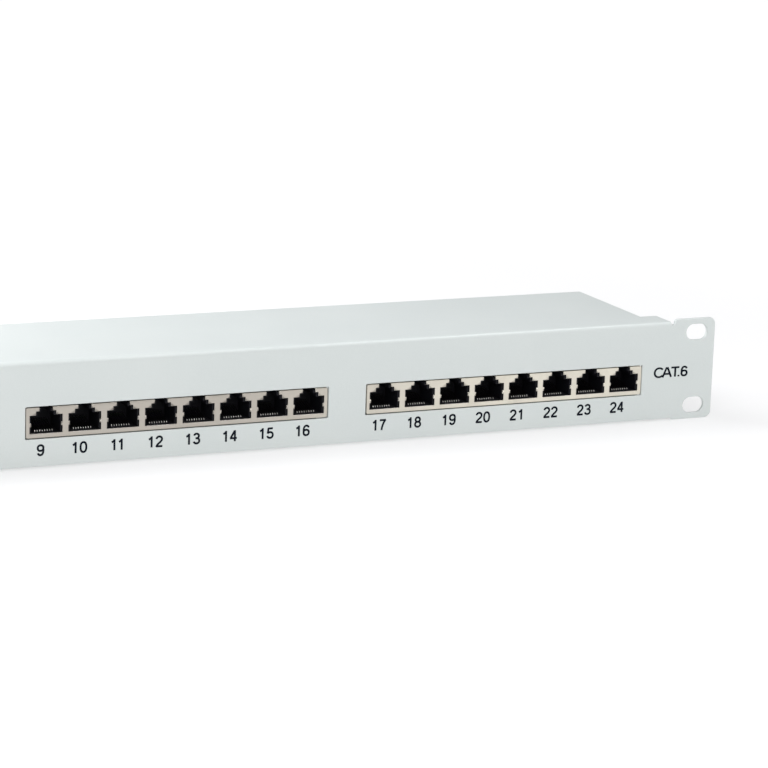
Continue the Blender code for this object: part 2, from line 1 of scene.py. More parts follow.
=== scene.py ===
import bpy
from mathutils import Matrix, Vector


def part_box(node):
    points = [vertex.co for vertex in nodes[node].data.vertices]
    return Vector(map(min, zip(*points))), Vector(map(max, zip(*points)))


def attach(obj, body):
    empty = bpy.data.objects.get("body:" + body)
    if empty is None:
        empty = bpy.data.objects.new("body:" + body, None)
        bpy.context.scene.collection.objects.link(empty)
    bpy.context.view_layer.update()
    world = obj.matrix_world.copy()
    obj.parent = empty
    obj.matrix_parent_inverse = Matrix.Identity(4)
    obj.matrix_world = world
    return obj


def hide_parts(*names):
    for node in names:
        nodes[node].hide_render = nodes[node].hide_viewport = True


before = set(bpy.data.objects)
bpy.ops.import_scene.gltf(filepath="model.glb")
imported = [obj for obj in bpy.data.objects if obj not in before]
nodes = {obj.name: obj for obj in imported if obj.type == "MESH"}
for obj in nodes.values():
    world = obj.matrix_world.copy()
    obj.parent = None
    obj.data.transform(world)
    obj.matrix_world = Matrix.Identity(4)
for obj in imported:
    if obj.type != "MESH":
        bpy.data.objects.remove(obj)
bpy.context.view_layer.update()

from math import cos, pi, radians, sin

import bpy
import numpy as np
from mathutils import Matrix, Vector
from mathutils.geometry import delaunay_2d_cdt

scene = bpy.context.scene
mm = 0.001
hoodLow, hoodHigh = (np.array(corner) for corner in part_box("front_hood"))
# Pieces are worked out in millimetres from the centre of the front face, X right, Y back, Z up.
faceCentre = np.array([(hoodLow[0] + hoodHigh[0]) / 2, hoodLow[1], (hoodLow[2] + hoodHigh[2]) / 2])

layout = {
    "banks": "abc",
    "bankPitch": 143.5,
    "portsPerBank": 8,
    "portPitch": 15.73,
}


def bankX(bank):
    return (bank - 1) * layout["bankPitch"]


def portX(bank, port):
    return bankX(bank) + (port - (layout["portsPerBank"] - 1) / 2) * layout["portPitch"]


# outlines are arrays of (u, v)
def arcPoints(centre, radius, start, end, steps):
    # centre plus radius times (cos, sin) of an angle that runs from start to end in degrees
    a = np.radians(np.linspace(start, end, steps + 1))
    return np.column_stack([centre[0] + radius * np.cos(a), centre[1] + radius * np.sin(a)])


def slotOutline(centre, length, width, steps=20):
    # two half circles joined by straight sides
    reach = (length - width) / 2
    right = arcPoints((centre[0] + reach, centre[1]), width / 2, -90, 90, steps)
    left = arcPoints((centre[0] - reach, centre[1]), width / 2, 90, 270, steps)
    return np.vstack([right, left])


def roundedOutline(corners, radii, steps=4):
    # each corner replaced by the arc that touches both of its sides; a radius of 0 keeps it sharp
    corners = np.asarray(corners, float)
    radii = np.broadcast_to(radii, len(corners))
    parts = []
    for before, corner, after, radius in zip(np.roll(corners, 1, 0), corners, np.roll(corners, -1, 0), radii):
        if radius == 0:
            parts.append(corner[None])
            continue
        a, b = before - corner, after - corner
        a, b = a / np.linalg.norm(a), b / np.linalg.norm(b)
        half = np.arccos(np.clip(a @ b, -1, 1)) / 2
        middle = corner + (a + b) / np.linalg.norm(a + b) * radius / np.sin(half)
        first, last = corner + a * radius / np.tan(half), corner + b * radius / np.tan(half)
        t = np.linspace(0, 1, steps + 1)[:, None]
        sweep = pi - 2 * half
        along = np.sin((1 - t) * sweep) * (first - middle) + np.sin(t * sweep) * (last - middle)
        parts.append(middle + along / np.sin(sweep))
    return np.vstack(parts)


def mirrored(outline):
    return np.asarray(outline)[::-1] * (-1, 1)


def insideOutlines(points, outlines):
    # even-odd rule: a ray to the right crosses the outlines an odd number of times
    inside = np.zeros(len(points), bool)
    x, y = points[:, 0][:, None], points[:, 1][:, None]
    for a in outlines:
        b = np.roll(a, -1, 0)
        crosses = (a[:, 1] > y) != (b[:, 1] > y)
        rise = np.where(b[:, 1] == a[:, 1], 1.0, b[:, 1] - a[:, 1])
        meets = a[:, 0] + (y - a[:, 1]) * (b[:, 0] - a[:, 0]) / rise
        inside ^= (crosses & (x < meets)).sum(1) % 2 == 1
    return inside


# surfaces are points and faces, in millimetres; a patch also carries a normal for each point
def gridFaces(rows, columns, closeRows=False, closeColumns=False):
    # one quad for each step of both parameters
    i = np.arange(rows if closeRows else rows - 1)[:, None]
    j = np.arange(columns if closeColumns else columns - 1)[None]
    nextI, nextJ = (i + 1) % rows, (j + 1) % columns
    quads = [i * columns + j, i * columns + nextJ, nextI * columns + nextJ, nextI * columns + j]
    return np.stack(np.broadcast_arrays(*quads), -1).reshape(-1, 4)


def asList(faces):
    return faces if isinstance(faces, list) else [faces]


def gridTriangles(rows, columns):
    quads = gridFaces(rows, columns)
    return np.vstack([quads[:, [0, 1, 2]], quads[:, [0, 2, 3]]])


def joined(parts):
    # several (points, faces) as one, with the faces renumbered
    points, faces, count = [], [], 0
    for somePoints, someFaces in parts:
        points.append(somePoints)
        faces += [f + count for f in asList(someFaces)]
        count += len(somePoints)
    return np.vstack(points), faces


def copiesAt(points, faces, places):
    # the same small shape once at each place
    places = np.asarray(places, float)
    allPoints = (places[:, None] + points[None]).reshape(-1, 3)
    shift = np.arange(len(places))[:, None, None] * len(points)
    return allPoints, [(f[None] + shift).reshape(-1, f.shape[1]) for f in asList(faces)]


def freeEdges(triangles, count):
    # the edges that no other triangle runs along the other way
    edges = np.vstack([triangles[:, [0, 1]], triangles[:, [1, 2]], triangles[:, [2, 0]]])
    return edges[~np.isin(edges[:, 0] * count + edges[:, 1], edges[:, 1] * count + edges[:, 0])]


def turnAngles(steps):
    return np.linspace(0, 2 * pi, steps, endpoint=False)[:, None]


def ringPoints(radius, height, angles):
    # one row of points for each angle, its columns running along the radii and heights
    columns = (radius * np.cos(angles), radius * np.sin(angles), height + 0 * angles)
    return np.stack(np.broadcast_arrays(*columns), -1)


def flatPatch(outlines, origin, uAxis, vAxis):
    # points (u, v) of a triangulated outline carried to origin + u * uAxis + v * vAxis, facing u x v
    loops = [np.asarray(outline, float) for outline in outlines]
    edges, count = [], 0
    for loop in loops:
        i = np.arange(len(loop))
        edges.append(np.column_stack([i, (i + 1) % len(loop)]) + count)
        count += len(loop)
    flat = [Vector(p) for p in np.vstack(loops).tolist()]
    found, _, triangles = delaunay_2d_cdt(flat, np.vstack(edges).tolist(), [], 0, 1e-6)[:3]
    flat = np.array([tuple(p) for p in found])
    triangles = np.array(triangles)
    triangles = triangles[insideOutlines(flat[triangles].mean(1), loops)]
    uAxis, vAxis = np.array(uAxis, float), np.array(vAxis, float)
    points = np.array(origin, float) + flat[:, :1] * uAxis + flat[:, 1:] * vAxis
    return points, np.tile(np.cross(uAxis, vAxis), (len(points), 1)), triangles


def bendPatch(start, end, radius, fromAxis, toAxis, steps=9):
    # a quarter cylinder: axis point (t along start..end) + radius * (cos a * fromAxis + sin a * toAxis)
    a = np.linspace(0, pi / 2, steps + 1)[:, None]
    normal = np.cos(a) * np.array(fromAxis, float) + np.sin(a) * np.array(toAxis, float)
    axis = np.array([start, end], float)
    points = (axis[:, None] + radius * normal[None]).reshape(-1, 3)
    return points, np.tile(normal, (2, 1)), gridTriangles(2, steps + 1)


def ribbonPatch(profile, halfWidth, x):
    # a profile of (y, z) points carried along X; the normal is the profile's own, turned a quarter
    y, z = np.asarray(profile, float).T
    slope = np.column_stack([np.gradient(y), np.gradient(z)])
    slope /= np.linalg.norm(slope, axis=1)[:, None]
    slope[[0, -1]] = (1, 0)
    points = np.vstack([np.column_stack([np.full_like(y, x + side * halfWidth), y, z]) for side in (-1, 1)])
    normals = np.tile(np.column_stack([np.zeros_like(y), slope[:, 1], -slope[:, 0]]), (2, 1))
    return points, normals, gridTriangles(2, len(y))


def wallPatch(outlines, x, hand):
    # a flat patch at x whose outlines are in (y, z), facing the side that hand points to
    points, normals, triangles = flatPatch(outlines, (x, 0, 0), (0, 1, 0), (0, 0, 1))
    return points, np.abs(normals) * (hand, 0, 0), triangles


def floorPatch(outlines, z):
    # a level patch at z whose outlines are in (x, y), facing down
    points, normals, triangles = flatPatch(outlines, (0, 0, z), (1, 0, 0), (0, 1, 0))
    return points, -normals, triangles


def sheetSolid(patches, thickness, rounding, support=0.35):
    # The outer face is the patches welded together. The inner face is point - thickness * normal.
    # Between them every free edge carries a profile of two small quarter circles, moved out by the
    # mitre of the two edges that meet there, so the sheet has softly rounded rims.
    points = np.vstack([p for p, _, _ in patches])
    normals = np.vstack([n for _, n, _ in patches])
    starts = np.cumsum([0] + [len(p) for p, _, _ in patches[:-1]])
    triangles = np.vstack([t + s for s, (_, _, t) in zip(starts, patches)])
    _, first, index = np.unique(np.round(points, 4), axis=0, return_index=True, return_inverse=True)
    points, normals, triangles = points[first], normals[first], index.reshape(-1)[triangles]
    corners = points[triangles]
    facing = np.cross(corners[:, 1] - corners[:, 0], corners[:, 2] - corners[:, 0])
    turned = (facing * normals[triangles].mean(1)).sum(1) < 0
    triangles[turned] = triangles[turned][:, ::-1]
    count = len(points)
    free = freeEdges(triangles, count)
    outward = np.cross(points[free[:, 1]] - points[free[:, 0]], normals[free].mean(1))
    outward /= np.linalg.norm(outward, axis=1)[:, None]
    leaving, arriving = np.zeros((count, 3)), np.zeros((count, 3))
    leaving[free[:, 0]], arriving[free[:, 1]] = outward, outward
    mitre = (leaving + arriving) / (1 + (leaving * arriving).sum(1))[:, None]
    a = np.radians([0, 45, 90])
    profile = [(-rounding - support, 0.0)]
    profile += [(-rounding * (1 - sin(t)), rounding * (1 - cos(t))) for t in a]
    profile += [(-rounding * (1 - cos(t)), thickness - rounding * (1 - sin(t))) for t in a]
    profile += [(-rounding - support, thickness)]
    rimPoints = np.unique(free)
    rows = np.empty((count, len(profile)), int)
    rows[:, 0], rows[:, -1] = np.arange(count), np.arange(count) + count
    middle = np.arange(len(rimPoints))[:, None] * (len(profile) - 2) + np.arange(len(profile) - 2)
    rows[rimPoints, 1:-1] = 2 * count + middle
    moved = mitre * (-rounding - support)
    rim = [points[rimPoints] + u * mitre[rimPoints] - d * normals[rimPoints] for u, d in profile[1:-1]]
    outer = points + moved
    allPoints = np.vstack([outer, outer - thickness * normals, np.stack(rim, 1).reshape(-1, 3)])
    i, j = rows[free[:, 0]], rows[free[:, 1]]
    quads = np.stack([j[:, :-1], i[:, :-1], i[:, 1:], j[:, 1:]], -1).reshape(-1, 4)
    edge = np.zeros(len(allPoints))  # wear is strongest at the middle of each rounding
    edge[2 * count:] = np.tile([0.0, 1.0, 0.5, 0.5, 1.0, 0.0], len(rimPoints))
    return allPoints, [np.vstack([triangles, triangles[:, ::-1] + count]), quads], edge


def revolved(profile, steps=32):
    # (radius, height) turned round Z; where the radius is 0 the points are merged later
    radius, height = np.asarray(profile, float).T
    points = ringPoints(radius, height, turnAngles(steps))
    return points.reshape(-1, 3), gridFaces(steps, len(radius), closeRows=True)


def strandAlong(path, across, halfWidth, halfHeight):
    # a rounded rectangle of four sides carried along a path of (x, y, z) with its ends closed;
    # across is the direction of its width, and its height is at right angles to both
    path, across = np.asarray(path, float), np.array(across, float)
    along = np.gradient(path, axis=0)
    along /= np.linalg.norm(along, axis=1)[:, None]
    up = np.cross(across, along)
    ring = np.array([(-1, -0.6), (-0.7, -1), (0.7, -1), (1, -0.6), (1, 0.6), (0.7, 1), (-0.7, 1), (-1, 0.6)])
    points = path[:, None] + ring[:, :1] * halfWidth * across + ring[:, 1:] * halfHeight * up[:, None]
    points = points.reshape(-1, 3)
    sides = gridFaces(len(path), len(ring), closeColumns=True)[:, ::-1]
    cap = np.arange(len(ring))
    return points, [sides, cap[None], cap[None, ::-1] + len(points) - len(ring)]


def turnedAxes(points, axis):
    # a shape made along Z laid along another axis
    turn = Vector((0, 0, 1)).rotation_difference(Vector(axis)).to_matrix()
    return points @ np.array(turn).T


def makePiece(name, points, faces, finish, body, replaced=(), attributes=None, smooth=True):
    # arrays put straight into a mesh, scaled to metres and set down at the front face's centre
    material, slotName = finish
    mesh = bpy.data.meshes.new(name)
    faces = asList(faces)
    place = np.asarray(points) * mm + faceCentre
    mesh.vertices.add(len(place))
    mesh.vertices.foreach_set("co", place.astype(np.float32).ravel())
    totals = np.concatenate([np.full(len(f), f.shape[1]) for f in faces])
    mesh.loops.add(int(totals.sum()))
    mesh.loops.foreach_set("vertex_index", np.concatenate([f.ravel() for f in faces]).astype(np.int32))
    mesh.polygons.add(len(totals))
    mesh.polygons.foreach_set("loop_start", (np.cumsum(totals) - totals).astype(np.int32))
    mesh.polygons.foreach_set("use_smooth", np.full(len(totals), smooth))
    for label, values in (attributes or {}).items():
        layer = mesh.attributes.new(label, "FLOAT", "POINT")
        layer.data.foreach_set("value", np.asarray(values, np.float32))
    mesh.update(calc_edges=True)
    mesh.validate()
    piece = bpy.data.objects.new(name, mesh)
    scene.collection.objects.link(piece)
    mesh.materials.append(material)
    if replaced:
        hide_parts(*replaced)
    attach(piece, body)
    return piece


def closeSeams(piece):
    # points that lie on one another made one, such as at a pole
    weld = piece.modifiers.new("closeSeams", "WELD")
    weld.merge_threshold = 0.002 * mm


def newGroup(name, inputs, outputs):
    # a shader group that takes a position and the inputs, given with their usual values
    group = bpy.data.node_groups.new(name, "ShaderNodeTree")
    group.interface.new_socket("Position", in_out="INPUT", socket_type="NodeSocketVector")
    for label, value in inputs.items():
        kind = "NodeSocketVector" if isinstance(value, tuple) else "NodeSocketFloat"
        made = group.interface.new_socket(label, in_out="INPUT", socket_type=kind)
        made.default_value = value
    for label in outputs:
        group.interface.new_socket(label, in_out="OUTPUT", socket_type="NodeSocketFloat")
    given, out = group.nodes.new("NodeGroupInput"), group.nodes.new("NodeGroupOutput")
    return group, Wiring(group), given.outputs, out.inputs


class Wiring:
    # short ways to add and link nodes in one tree
    def __init__(self, tree):
        self.tree = tree

    def node(self, kind, links=None, **settings):
        made = self.tree.nodes.new("ShaderNode" + kind)
        for key, value in settings.items():
            setattr(made, key, value)
        for key, value in (links or {}).items():
            self.put(made.inputs[key], value)
        return made

    def put(self, socket, value):
        if isinstance(value, bpy.types.NodeSocket):
            self.tree.links.new(value, socket)
        else:
            socket.default_value = value

    def math(self, operation, a, b=0.0, c=0.0, clamp=False):
        made = self.node("Math", {0: a, 1: b}, operation=operation, use_clamp=clamp)
        if operation in ("MULTIPLY_ADD", "SMOOTH_MIN", "SMOOTH_MAX", "COMPARE"):
            self.put(made.inputs[2], c)
        return made.outputs[0]

    def times(self, *values):
        product = values[0]
        for value in values[1:]:
            product = self.math("MULTIPLY", product, value)
        return product

    def ramp(self, value, low, high, to=(0.0, 1.0)):
        links = {0: value, 1: low, 2: high, 3: to[0], 4: to[1]}
        return self.node("MapRange", links, interpolation_type="SMOOTHSTEP").outputs[0]

    def mixColour(self, factor, a, b, blend="MIX"):
        made = self.node("Mix", data_type="RGBA", blend_type=blend)
        for socket, value in zip((made.inputs[0], made.inputs[6], made.inputs[7]), (factor, a, b)):
            self.put(socket, value)
        return made.outputs[2]

    def attribute(self, name):
        return self.node("Attribute", attribute_name=name).outputs["Fac"]

    def split(self, vector):
        return self.node("SeparateXYZ", {0: vector}).outputs

    def grey(self, value):
        return self.node("CombineColor", {0: value, 1: value, 2: value}).outputs[0]

    def noise(self, where, scale, detail=2.0, roughness=0.5, distortion=0.0):
        made = self.node("TexNoise", {"Vector": where, "Scale": scale, "Detail": detail})
        made.inputs["Roughness"].default_value = roughness
        made.inputs["Distortion"].default_value = distortion
        return made.outputs[0]


def rgba(colour):
    return (*colour, 1.0)


def powderGrainGroup():
    # the orange-peel height and the fine speckle of a baked powder coat
    scales = {"Peel scale": 900.0, "Speck scale": 2600.0}
    group, w, given, out = newGroup("powderGrain", scales, ["Height", "Speck", "Cloud"])
    peel = w.noise(given["Position"], given["Peel scale"], 2.0, 0.45)
    fine = w.noise(given["Position"], given["Speck scale"], 1.0, 0.5)
    w.put(out["Height"], w.math("MULTIPLY_ADD", fine, 0.3, peel))
    w.put(out["Speck"], w.ramp(fine, 0.36, 0.66))
    w.put(out["Cloud"], w.noise(given["Position"], 14.0, 3.0, 0.55))
    return group


def handlingGroup():
    # marks of handling: sparse thin scratches, soft smudges and settled dust on what faces up
    amounts = {"Scratch": 0.3, "Smudge": 0.4, "Dust": 0.2}
    group, w, given, out = newGroup("handling", amounts, ["Scratches", "Smudges", "Dust"])
    where = given["Position"]
    drawnOut = {"Vector": where, "Rotation": (0.3, 0.5, 0.7), "Scale": (40.0, 900.0, 700.0)}
    line = w.noise(w.node("Mapping", drawnOut).outputs[0], 1.0, 1.0, 0.4, 0.6)
    sparse = w.ramp(w.noise(where, 26.0, 1.0), 0.6, 0.72)
    w.put(out["Scratches"], w.times(w.ramp(line, 0.72, 0.8), sparse, given["Scratch"]))
    smudge = w.ramp(w.noise(where, 18.0, 2.0, 0.5), 0.3, 0.8)
    w.put(out["Smudges"], w.times(smudge, given["Smudge"]))
    lying = w.ramp(w.split(w.node("NewGeometry").outputs["Normal"])[2], 0.5, 0.95)
    grains = w.ramp(w.noise(where, 1900.0, 2.0, 0.7), 0.45, 0.8)
    patch = w.ramp(w.noise(where, 9.0, 3.0), 0.3, 0.75)
    w.put(out["Dust"], w.times(w.times(lying, grains), w.times(patch, given["Dust"])))
    return group


def edgeWearGroup():
    # rubbed rims: the edge attribute broken up by noise
    group, w, given, out = newGroup("edgeWear", {"Amount": 0.5}, ["Wear"])
    patchy = w.ramp(w.noise(given["Position"], 160.0, 4.0, 0.65), 0.35, 0.7)
    w.put(out["Wear"], w.times(w.attribute("edge"), patchy, given["Amount"]))
    return group


def rolledMetalGroup():
    # drawn-out grain of rolled or brushed sheet, one way, with a slow cloud of tarnish
    stretch = {"Stretch": (60.0, 1500.0, 1500.0)}
    group, w, given, out = newGroup("rolledMetal", stretch, ["Grain", "Tarnish"])
    where = given["Position"]
    scaled = w.node("VectorMath", {0: where, 1: given["Stretch"]}, operation="MULTIPLY").outputs[0]
    w.put(out["Grain"], w.noise(scaled, 1.0, 3.0, 0.6))
    w.put(out["Tarnish"], w.ramp(w.noise(where, 90.0, 4.0, 0.6, 0.5), 0.35, 0.75))
    return group


powderGrain = powderGrainGroup()
handling = handlingGroup()
edgeWear = edgeWearGroup()
rolledMetal = rolledMetalGroup()


def newFinish(name):
    # an empty material: its wiring, its shader and Object coordinates
    material = bpy.data.materials.new(name)
    material.use_nodes = True
    w = Wiring(material.node_tree)
    shader = material.node_tree.nodes["Principled BSDF"]
    return material, w, shader, w.node("TexCoord").outputs["Object"]


def useGroup(w, group, **values):
    made = w.node("Group", node_tree=group)
    for key, value in values.items():
        w.put(made.inputs[key.replace("_", " ")], value)
    return made.outputs


def addBump(w, shader, height, strength, distance):
    bump = w.node("Bump", {"Height": height, "Strength": strength, "Distance": distance})
    w.put(shader.inputs["Normal"], bump.outputs[0])


def addRoughness(w, shader, smooth, *additions):
    # the smoothest value, plus a share of each mask
    for mask, share in additions:
        smooth = w.math("MULTIPLY_ADD", mask, share, smooth, clamp=True)
    w.put(shader.inputs["Roughness"], smooth)


powderSettings = {
    "colour": (0.612, 0.650, 0.640),
    "cloudColour": (0.590, 0.630, 0.622),
    "speckColour": (0.660, 0.695, 0.685),
    "rimColour": (0.73, 0.76, 0.75),
    "dustColour": (0.70, 0.69, 0.66),
    "roughness": (0.29, 0.40),
    "specular": 0.45,
    "handling": {"Scratch": 0.12, "Smudge": 0.3, "Dust": 0.07},
    "rimWear": 0.55,
    "bump": (0.10, 0.0004),
}


def powderCoatFinish():
    # colour = grey, drifting a little with the cloud, flecked by the speck, paler on worn rims and
    # under dust; roughness rises with smudges; the peel is the bump
    s = powderSettings
    material, w, shader, where = newFinish("lightGreyPowderCoat")
    grain = useGroup(w, powderGrain, Position=where)
    marks = useGroup(w, handling, Position=where, **s["handling"])
    wear = useGroup(w, edgeWear, Position=where, Amount=s["rimWear"])["Wear"]
    base = w.mixColour(w.ramp(grain["Cloud"], 0.35, 0.65), rgba(s["colour"]), rgba(s["cloudColour"]))
    base = w.mixColour(w.times(grain["Speck"], 0.16), base, rgba(s["speckColour"]))
    base = w.mixColour(wear, base, rgba(s["rimColour"]))
    base = w.mixColour(marks["Dust"], base, rgba(s["dustColour"]))
    base = w.mixColour(w.times(marks["Scratches"], 0.5), base, rgba(s["speckColour"]))
    w.put(shader.inputs["Base Color"], base)
    low, high = s["roughness"]
    addRoughness(w, shader, low, (marks["Smudges"], high - low), (marks["Dust"], 0.3))
    shader.inputs["Specular IOR Level"].default_value = s["specular"]
    addBump(w, shader, grain["Height"], *s["bump"])
    return material


nickelSettings = {
    "colour": (0.48, 0.445, 0.395),
    # painted reflection: the pale colour, mixed in by the ramp along X, lightens the metal towards the
    # right-hand bank
    "paleColour": (0.76, 0.72, 0.62),
    "paintedReflectionFrom": (0.01, 0.14),
    "tarnishColour": (0.42, 0.385, 0.33),
    "brightColour": (0.66, 0.63, 0.58),
    "rimColour": (0.85, 0.83, 0.80),
    "roughness": (0.30, 0.44),
    "stretch": (120.0, 900.0, 1800.0),
    "handling": {"Scratch": 0.5, "Smudge": 0.7, "Dust": 0.1},
    "rimWear": 0.9,
    "bump": (0.06, 0.0002),
}


def nickelFinish():
    # warm satin metal: colour is painted paler along the panel, a painted reflection that lightens it towards
    # the right and most on the right-hand bank, and drifts to tarnish in clouds; the rolled grain moves the
    # roughness
    s = nickelSettings
    material, w, shader, where = newFinish("satinNickel")
    metal = useGroup(w, rolledMetal, Position=where, Stretch=s["stretch"])
    marks = useGroup(w, handling, Position=where, **s["handling"])
    # painted reflection: a ramp along X from 10 to 140 mm that turns the colour pale
    paintedReflection = w.ramp(w.split(where)[0], *s["paintedReflectionFrom"])
    base = w.mixColour(paintedReflection, rgba(s["colour"]), rgba(s["paleColour"]))
    base = w.mixColour(w.times(metal["Tarnish"], 0.25), base, rgba(s["tarnishColour"]))
    base = w.mixColour(w.times(metal["Grain"], 0.12), base, rgba(s["brightColour"]))
    wear = useGroup(w, edgeWear, Position=where, Amount=s["rimWear"])["Wear"]
    base = w.mixColour(wear, base, rgba(s["rimColour"]))
    w.put(shader.inputs["Base Color"], base)
    shader.inputs["Metallic"].default_value = 1.0
    low, high = s["roughness"]
    addRoughness(w, shader, low, (metal["Grain"], high - low), (marks["Smudges"], 0.12))
    addBump(w, shader, w.math("MULTIPLY_ADD", marks["Scratches"], -0.6, metal["Grain"]), *s["bump"])
    return material


def metalFinish(name, colour, tarnishColour, roughness, stretch):
    # plated or bare metal: tarnish in clouds over the colour, rolled grain in roughness and bump
    material, w, shader, where = newFinish(name)
    metal = useGroup(w, rolledMetal, Position=where, Stretch=stretch)
    marks = useGroup(w, handling, Position=where, Scratch=0.8, Smudge=0.6, Dust=0.15)
    base = w.mixColour(w.times(metal["Tarnish"], 0.7), rgba(colour), rgba(tarnishColour))
    w.put(shader.inputs["Base Color"], base)
    shader.inputs["Metallic"].default_value = 1.0
    addRoughness(w, shader, roughness - 0.09, (metal["Grain"], 0.18), (marks["Smudges"], 0.15))
    addBump(w, shader, w.math("MULTIPLY_ADD", marks["Scratches"], -0.8, metal["Grain"]), 0.08, 0.0002)
    return material


def mouldedFinish(name, colour, paleColour, roughness, specular=0.5):
    # moulded plastic: fine spark-eroded grain as bump, slow colour drift, smudged gloss
    material, w, shader, where = newFinish(name)
    grain = useGroup(w, powderGrain, Position=where, Peel_scale=1800.0, Speck_scale=3960.0)
    marks = useGroup(w, handling, Position=where, Scratch=0.4, Smudge=0.6, Dust=0.12)
    base = w.mixColour(w.ramp(grain["Cloud"], 0.3, 0.7), rgba(colour), rgba(paleColour))
    scratchColour = rgba([min(1, 1.6 * c + 0.02) for c in paleColour])
    base = w.mixColour(w.times(marks["Scratches"], 0.6), base, scratchColour)
    base = w.mixColour(marks["Dust"], base, rgba((0.5, 0.49, 0.46)))
    w.put(shader.inputs["Base Color"], base)
    addRoughness(w, shader, roughness, (marks["Smudges"], 0.16), (marks["Dust"], 0.2))
    shader.inputs["Specular IOR Level"].default_value = specular
    addBump(w, shader, grain["Height"], 0.12, 0.0002)
    return material


boardSettings = {
    "mask": (0.012, 0.115, 0.045),
    "overCopper": (0.030, 0.215, 0.085),
    "dustColour": (0.45, 0.45, 0.42),
    "trackPitch": 1.27,
    "runShare": 0.45,
    "roughness": 0.29,
}


def boardFinish():
    # solder mask over tracks: bands of raised copper along Z, broken into runs by cells, glossy
    s = boardSettings
    material, w, shader, where = newFinish("boardGreen")
    marks = useGroup(w, handling, Position=where, Scratch=0.3, Smudge=0.5, Dust=0.15)
    x, _, z = w.split(where)
    cells = w.node("TexVoronoi", {"Vector": where, "Scale": 95.0}, distance="MANHATTAN").outputs["Color"]
    perMetre = 1000 / s["trackPitch"]
    lines = w.math("PINGPONG", w.math("MULTIPLY_ADD", x, perMetre, 0.25), 0.5)
    rows = w.math("PINGPONG", w.math("MULTIPLY_ADD", z, perMetre, 0.1), 0.5)
    runs = w.math("GREATER_THAN", w.node("SeparateColor", {0: cells}).outputs[0], s["runShare"])
    across = w.times(w.ramp(lines, 0.28, 0.33), runs)
    up = w.times(w.ramp(rows, 0.30, 0.35), w.math("SUBTRACT", 1.0, runs))
    tracks = w.math("ADD", across, up, clamp=True)
    base = w.mixColour(tracks, rgba(s["mask"]), rgba(s["overCopper"]))
    base = w.mixColour(marks["Dust"], base, rgba(s["dustColour"]))
    w.put(shader.inputs["Base Color"], base)
    addRoughness(w, shader, s["roughness"], (marks["Smudges"], 0.2))
    addBump(w, shader, tracks, 0.35, 0.00006)
    return material


inkSettings = {
    "colour": (0.004, 0.006, 0.012),
    "thinColour": (0.05, 0.055, 0.06),
    "thin": 0.04,
    "specular": 0.08,
}


def inkFinish():
    # screen-printed ink: nearly black, thin in spots, with the coat's own grain
    s = inkSettings
    material, w, shader, where = newFinish("printedInk")
    grain = useGroup(w, powderGrain, Position=where)
    thin = w.times(grain["Speck"], s["thin"])
    w.put(shader.inputs["Base Color"], w.mixColour(thin, rgba(s["colour"]), rgba(s["thinColour"])))
    addRoughness(w, shader, 0.5, (grain["Speck"], 0.15))
    shader.inputs["Specular IOR Level"].default_value = s["specular"]
    addBump(w, shader, grain["Height"], 0.10, 0.0003)
    return material


wireColours = {
    "blue": (0.030, 0.105, 0.42),
    "orange": (0.80, 0.22, 0.02),
    "green": (0.02, 0.26, 0.06),
    "brown": (0.17, 0.065, 0.025),
    "paper": (0.80, 0.79, 0.74),
    "speck": (0.5, 0.5, 0.48),
}


def colourCodeFinish():
    # a strip of wire colours: each pair has a solid field and a striped one, chosen by the pair and
    # field attributes that the strip's own surface carries
    s = wireColours
    material, w, shader, where = newFinish("colourCodeStrip")
    pair, field = w.attribute("pair"), w.attribute("field")
    grain = useGroup(w, powderGrain, Position=where)
    colour = rgba(s["blue"])
    for number, name in enumerate(("orange", "green", "brown"), 1):
        colour = w.mixColour(w.math("GREATER_THAN", pair, number - 0.5), colour, rgba(s[name]))
    x, _, z = w.split(where)
    stripe = w.ramp(w.math("PINGPONG", w.times(w.math("ADD", x, z), 900.0), 0.5), 0.24, 0.28)
    striped = w.mixColour(stripe, rgba(s["paper"]), colour)
    printed = w.mixColour(w.math("GREATER_THAN", field, 1.5), colour, striped)
    w.put(shader.inputs["Base Color"], w.mixColour(w.times(grain["Speck"], 0.08), printed, rgba(s["speck"])))
    addRoughness(w, shader, 0.5, (grain["Speck"], 0.1))
    addBump(w, shader, grain["Height"], 0.05, 0.0002)
    return material


# each finish with a slot name; makePiece does not use the slot name
powderCoat = powderCoatFinish(), "light_grey_powder_coat"
satinNickel = nickelFinish(), "nickel_plate"
blackMoulding = mouldedFinish(
    "blackMoulding", (0.0035, 0.0035, 0.0055), (0.007, 0.007, 0.010), roughness=0.5, specular=0.2,
), "black_plastic"
whiteMoulding = mouldedFinish(
    "whiteMoulding", (0.74, 0.72, 0.66), (0.80, 0.785, 0.74), roughness=0.38,
), "white_plastic"
boardGreen = boardFinish(), "board_green"
printedInk = inkFinish(), "black_plastic"
colourCode = colourCodeFinish(), "white_plastic"
tinnedClip = metalFinish(
    "tinnedClip", (0.74, 0.74, 0.73), (0.55, 0.54, 0.52), roughness=0.3, stretch=(1200.0, 200.0, 1200.0),
), "zinc_plate"
brightZinc = metalFinish(
    "brightZinc", (0.70, 0.72, 0.75), (0.56, 0.55, 0.50), roughness=0.28, stretch=(500.0, 500.0, 500.0),
), "zinc_plate"
machinedBrass = metalFinish(
    "machinedBrass", (0.80, 0.58, 0.27), (0.55, 0.36, 0.15), roughness=0.26, stretch=(300.0, 300.0, 2400.0),
), "brass"
print("finishes made")

# front, ears, top and sides in one folded sheet

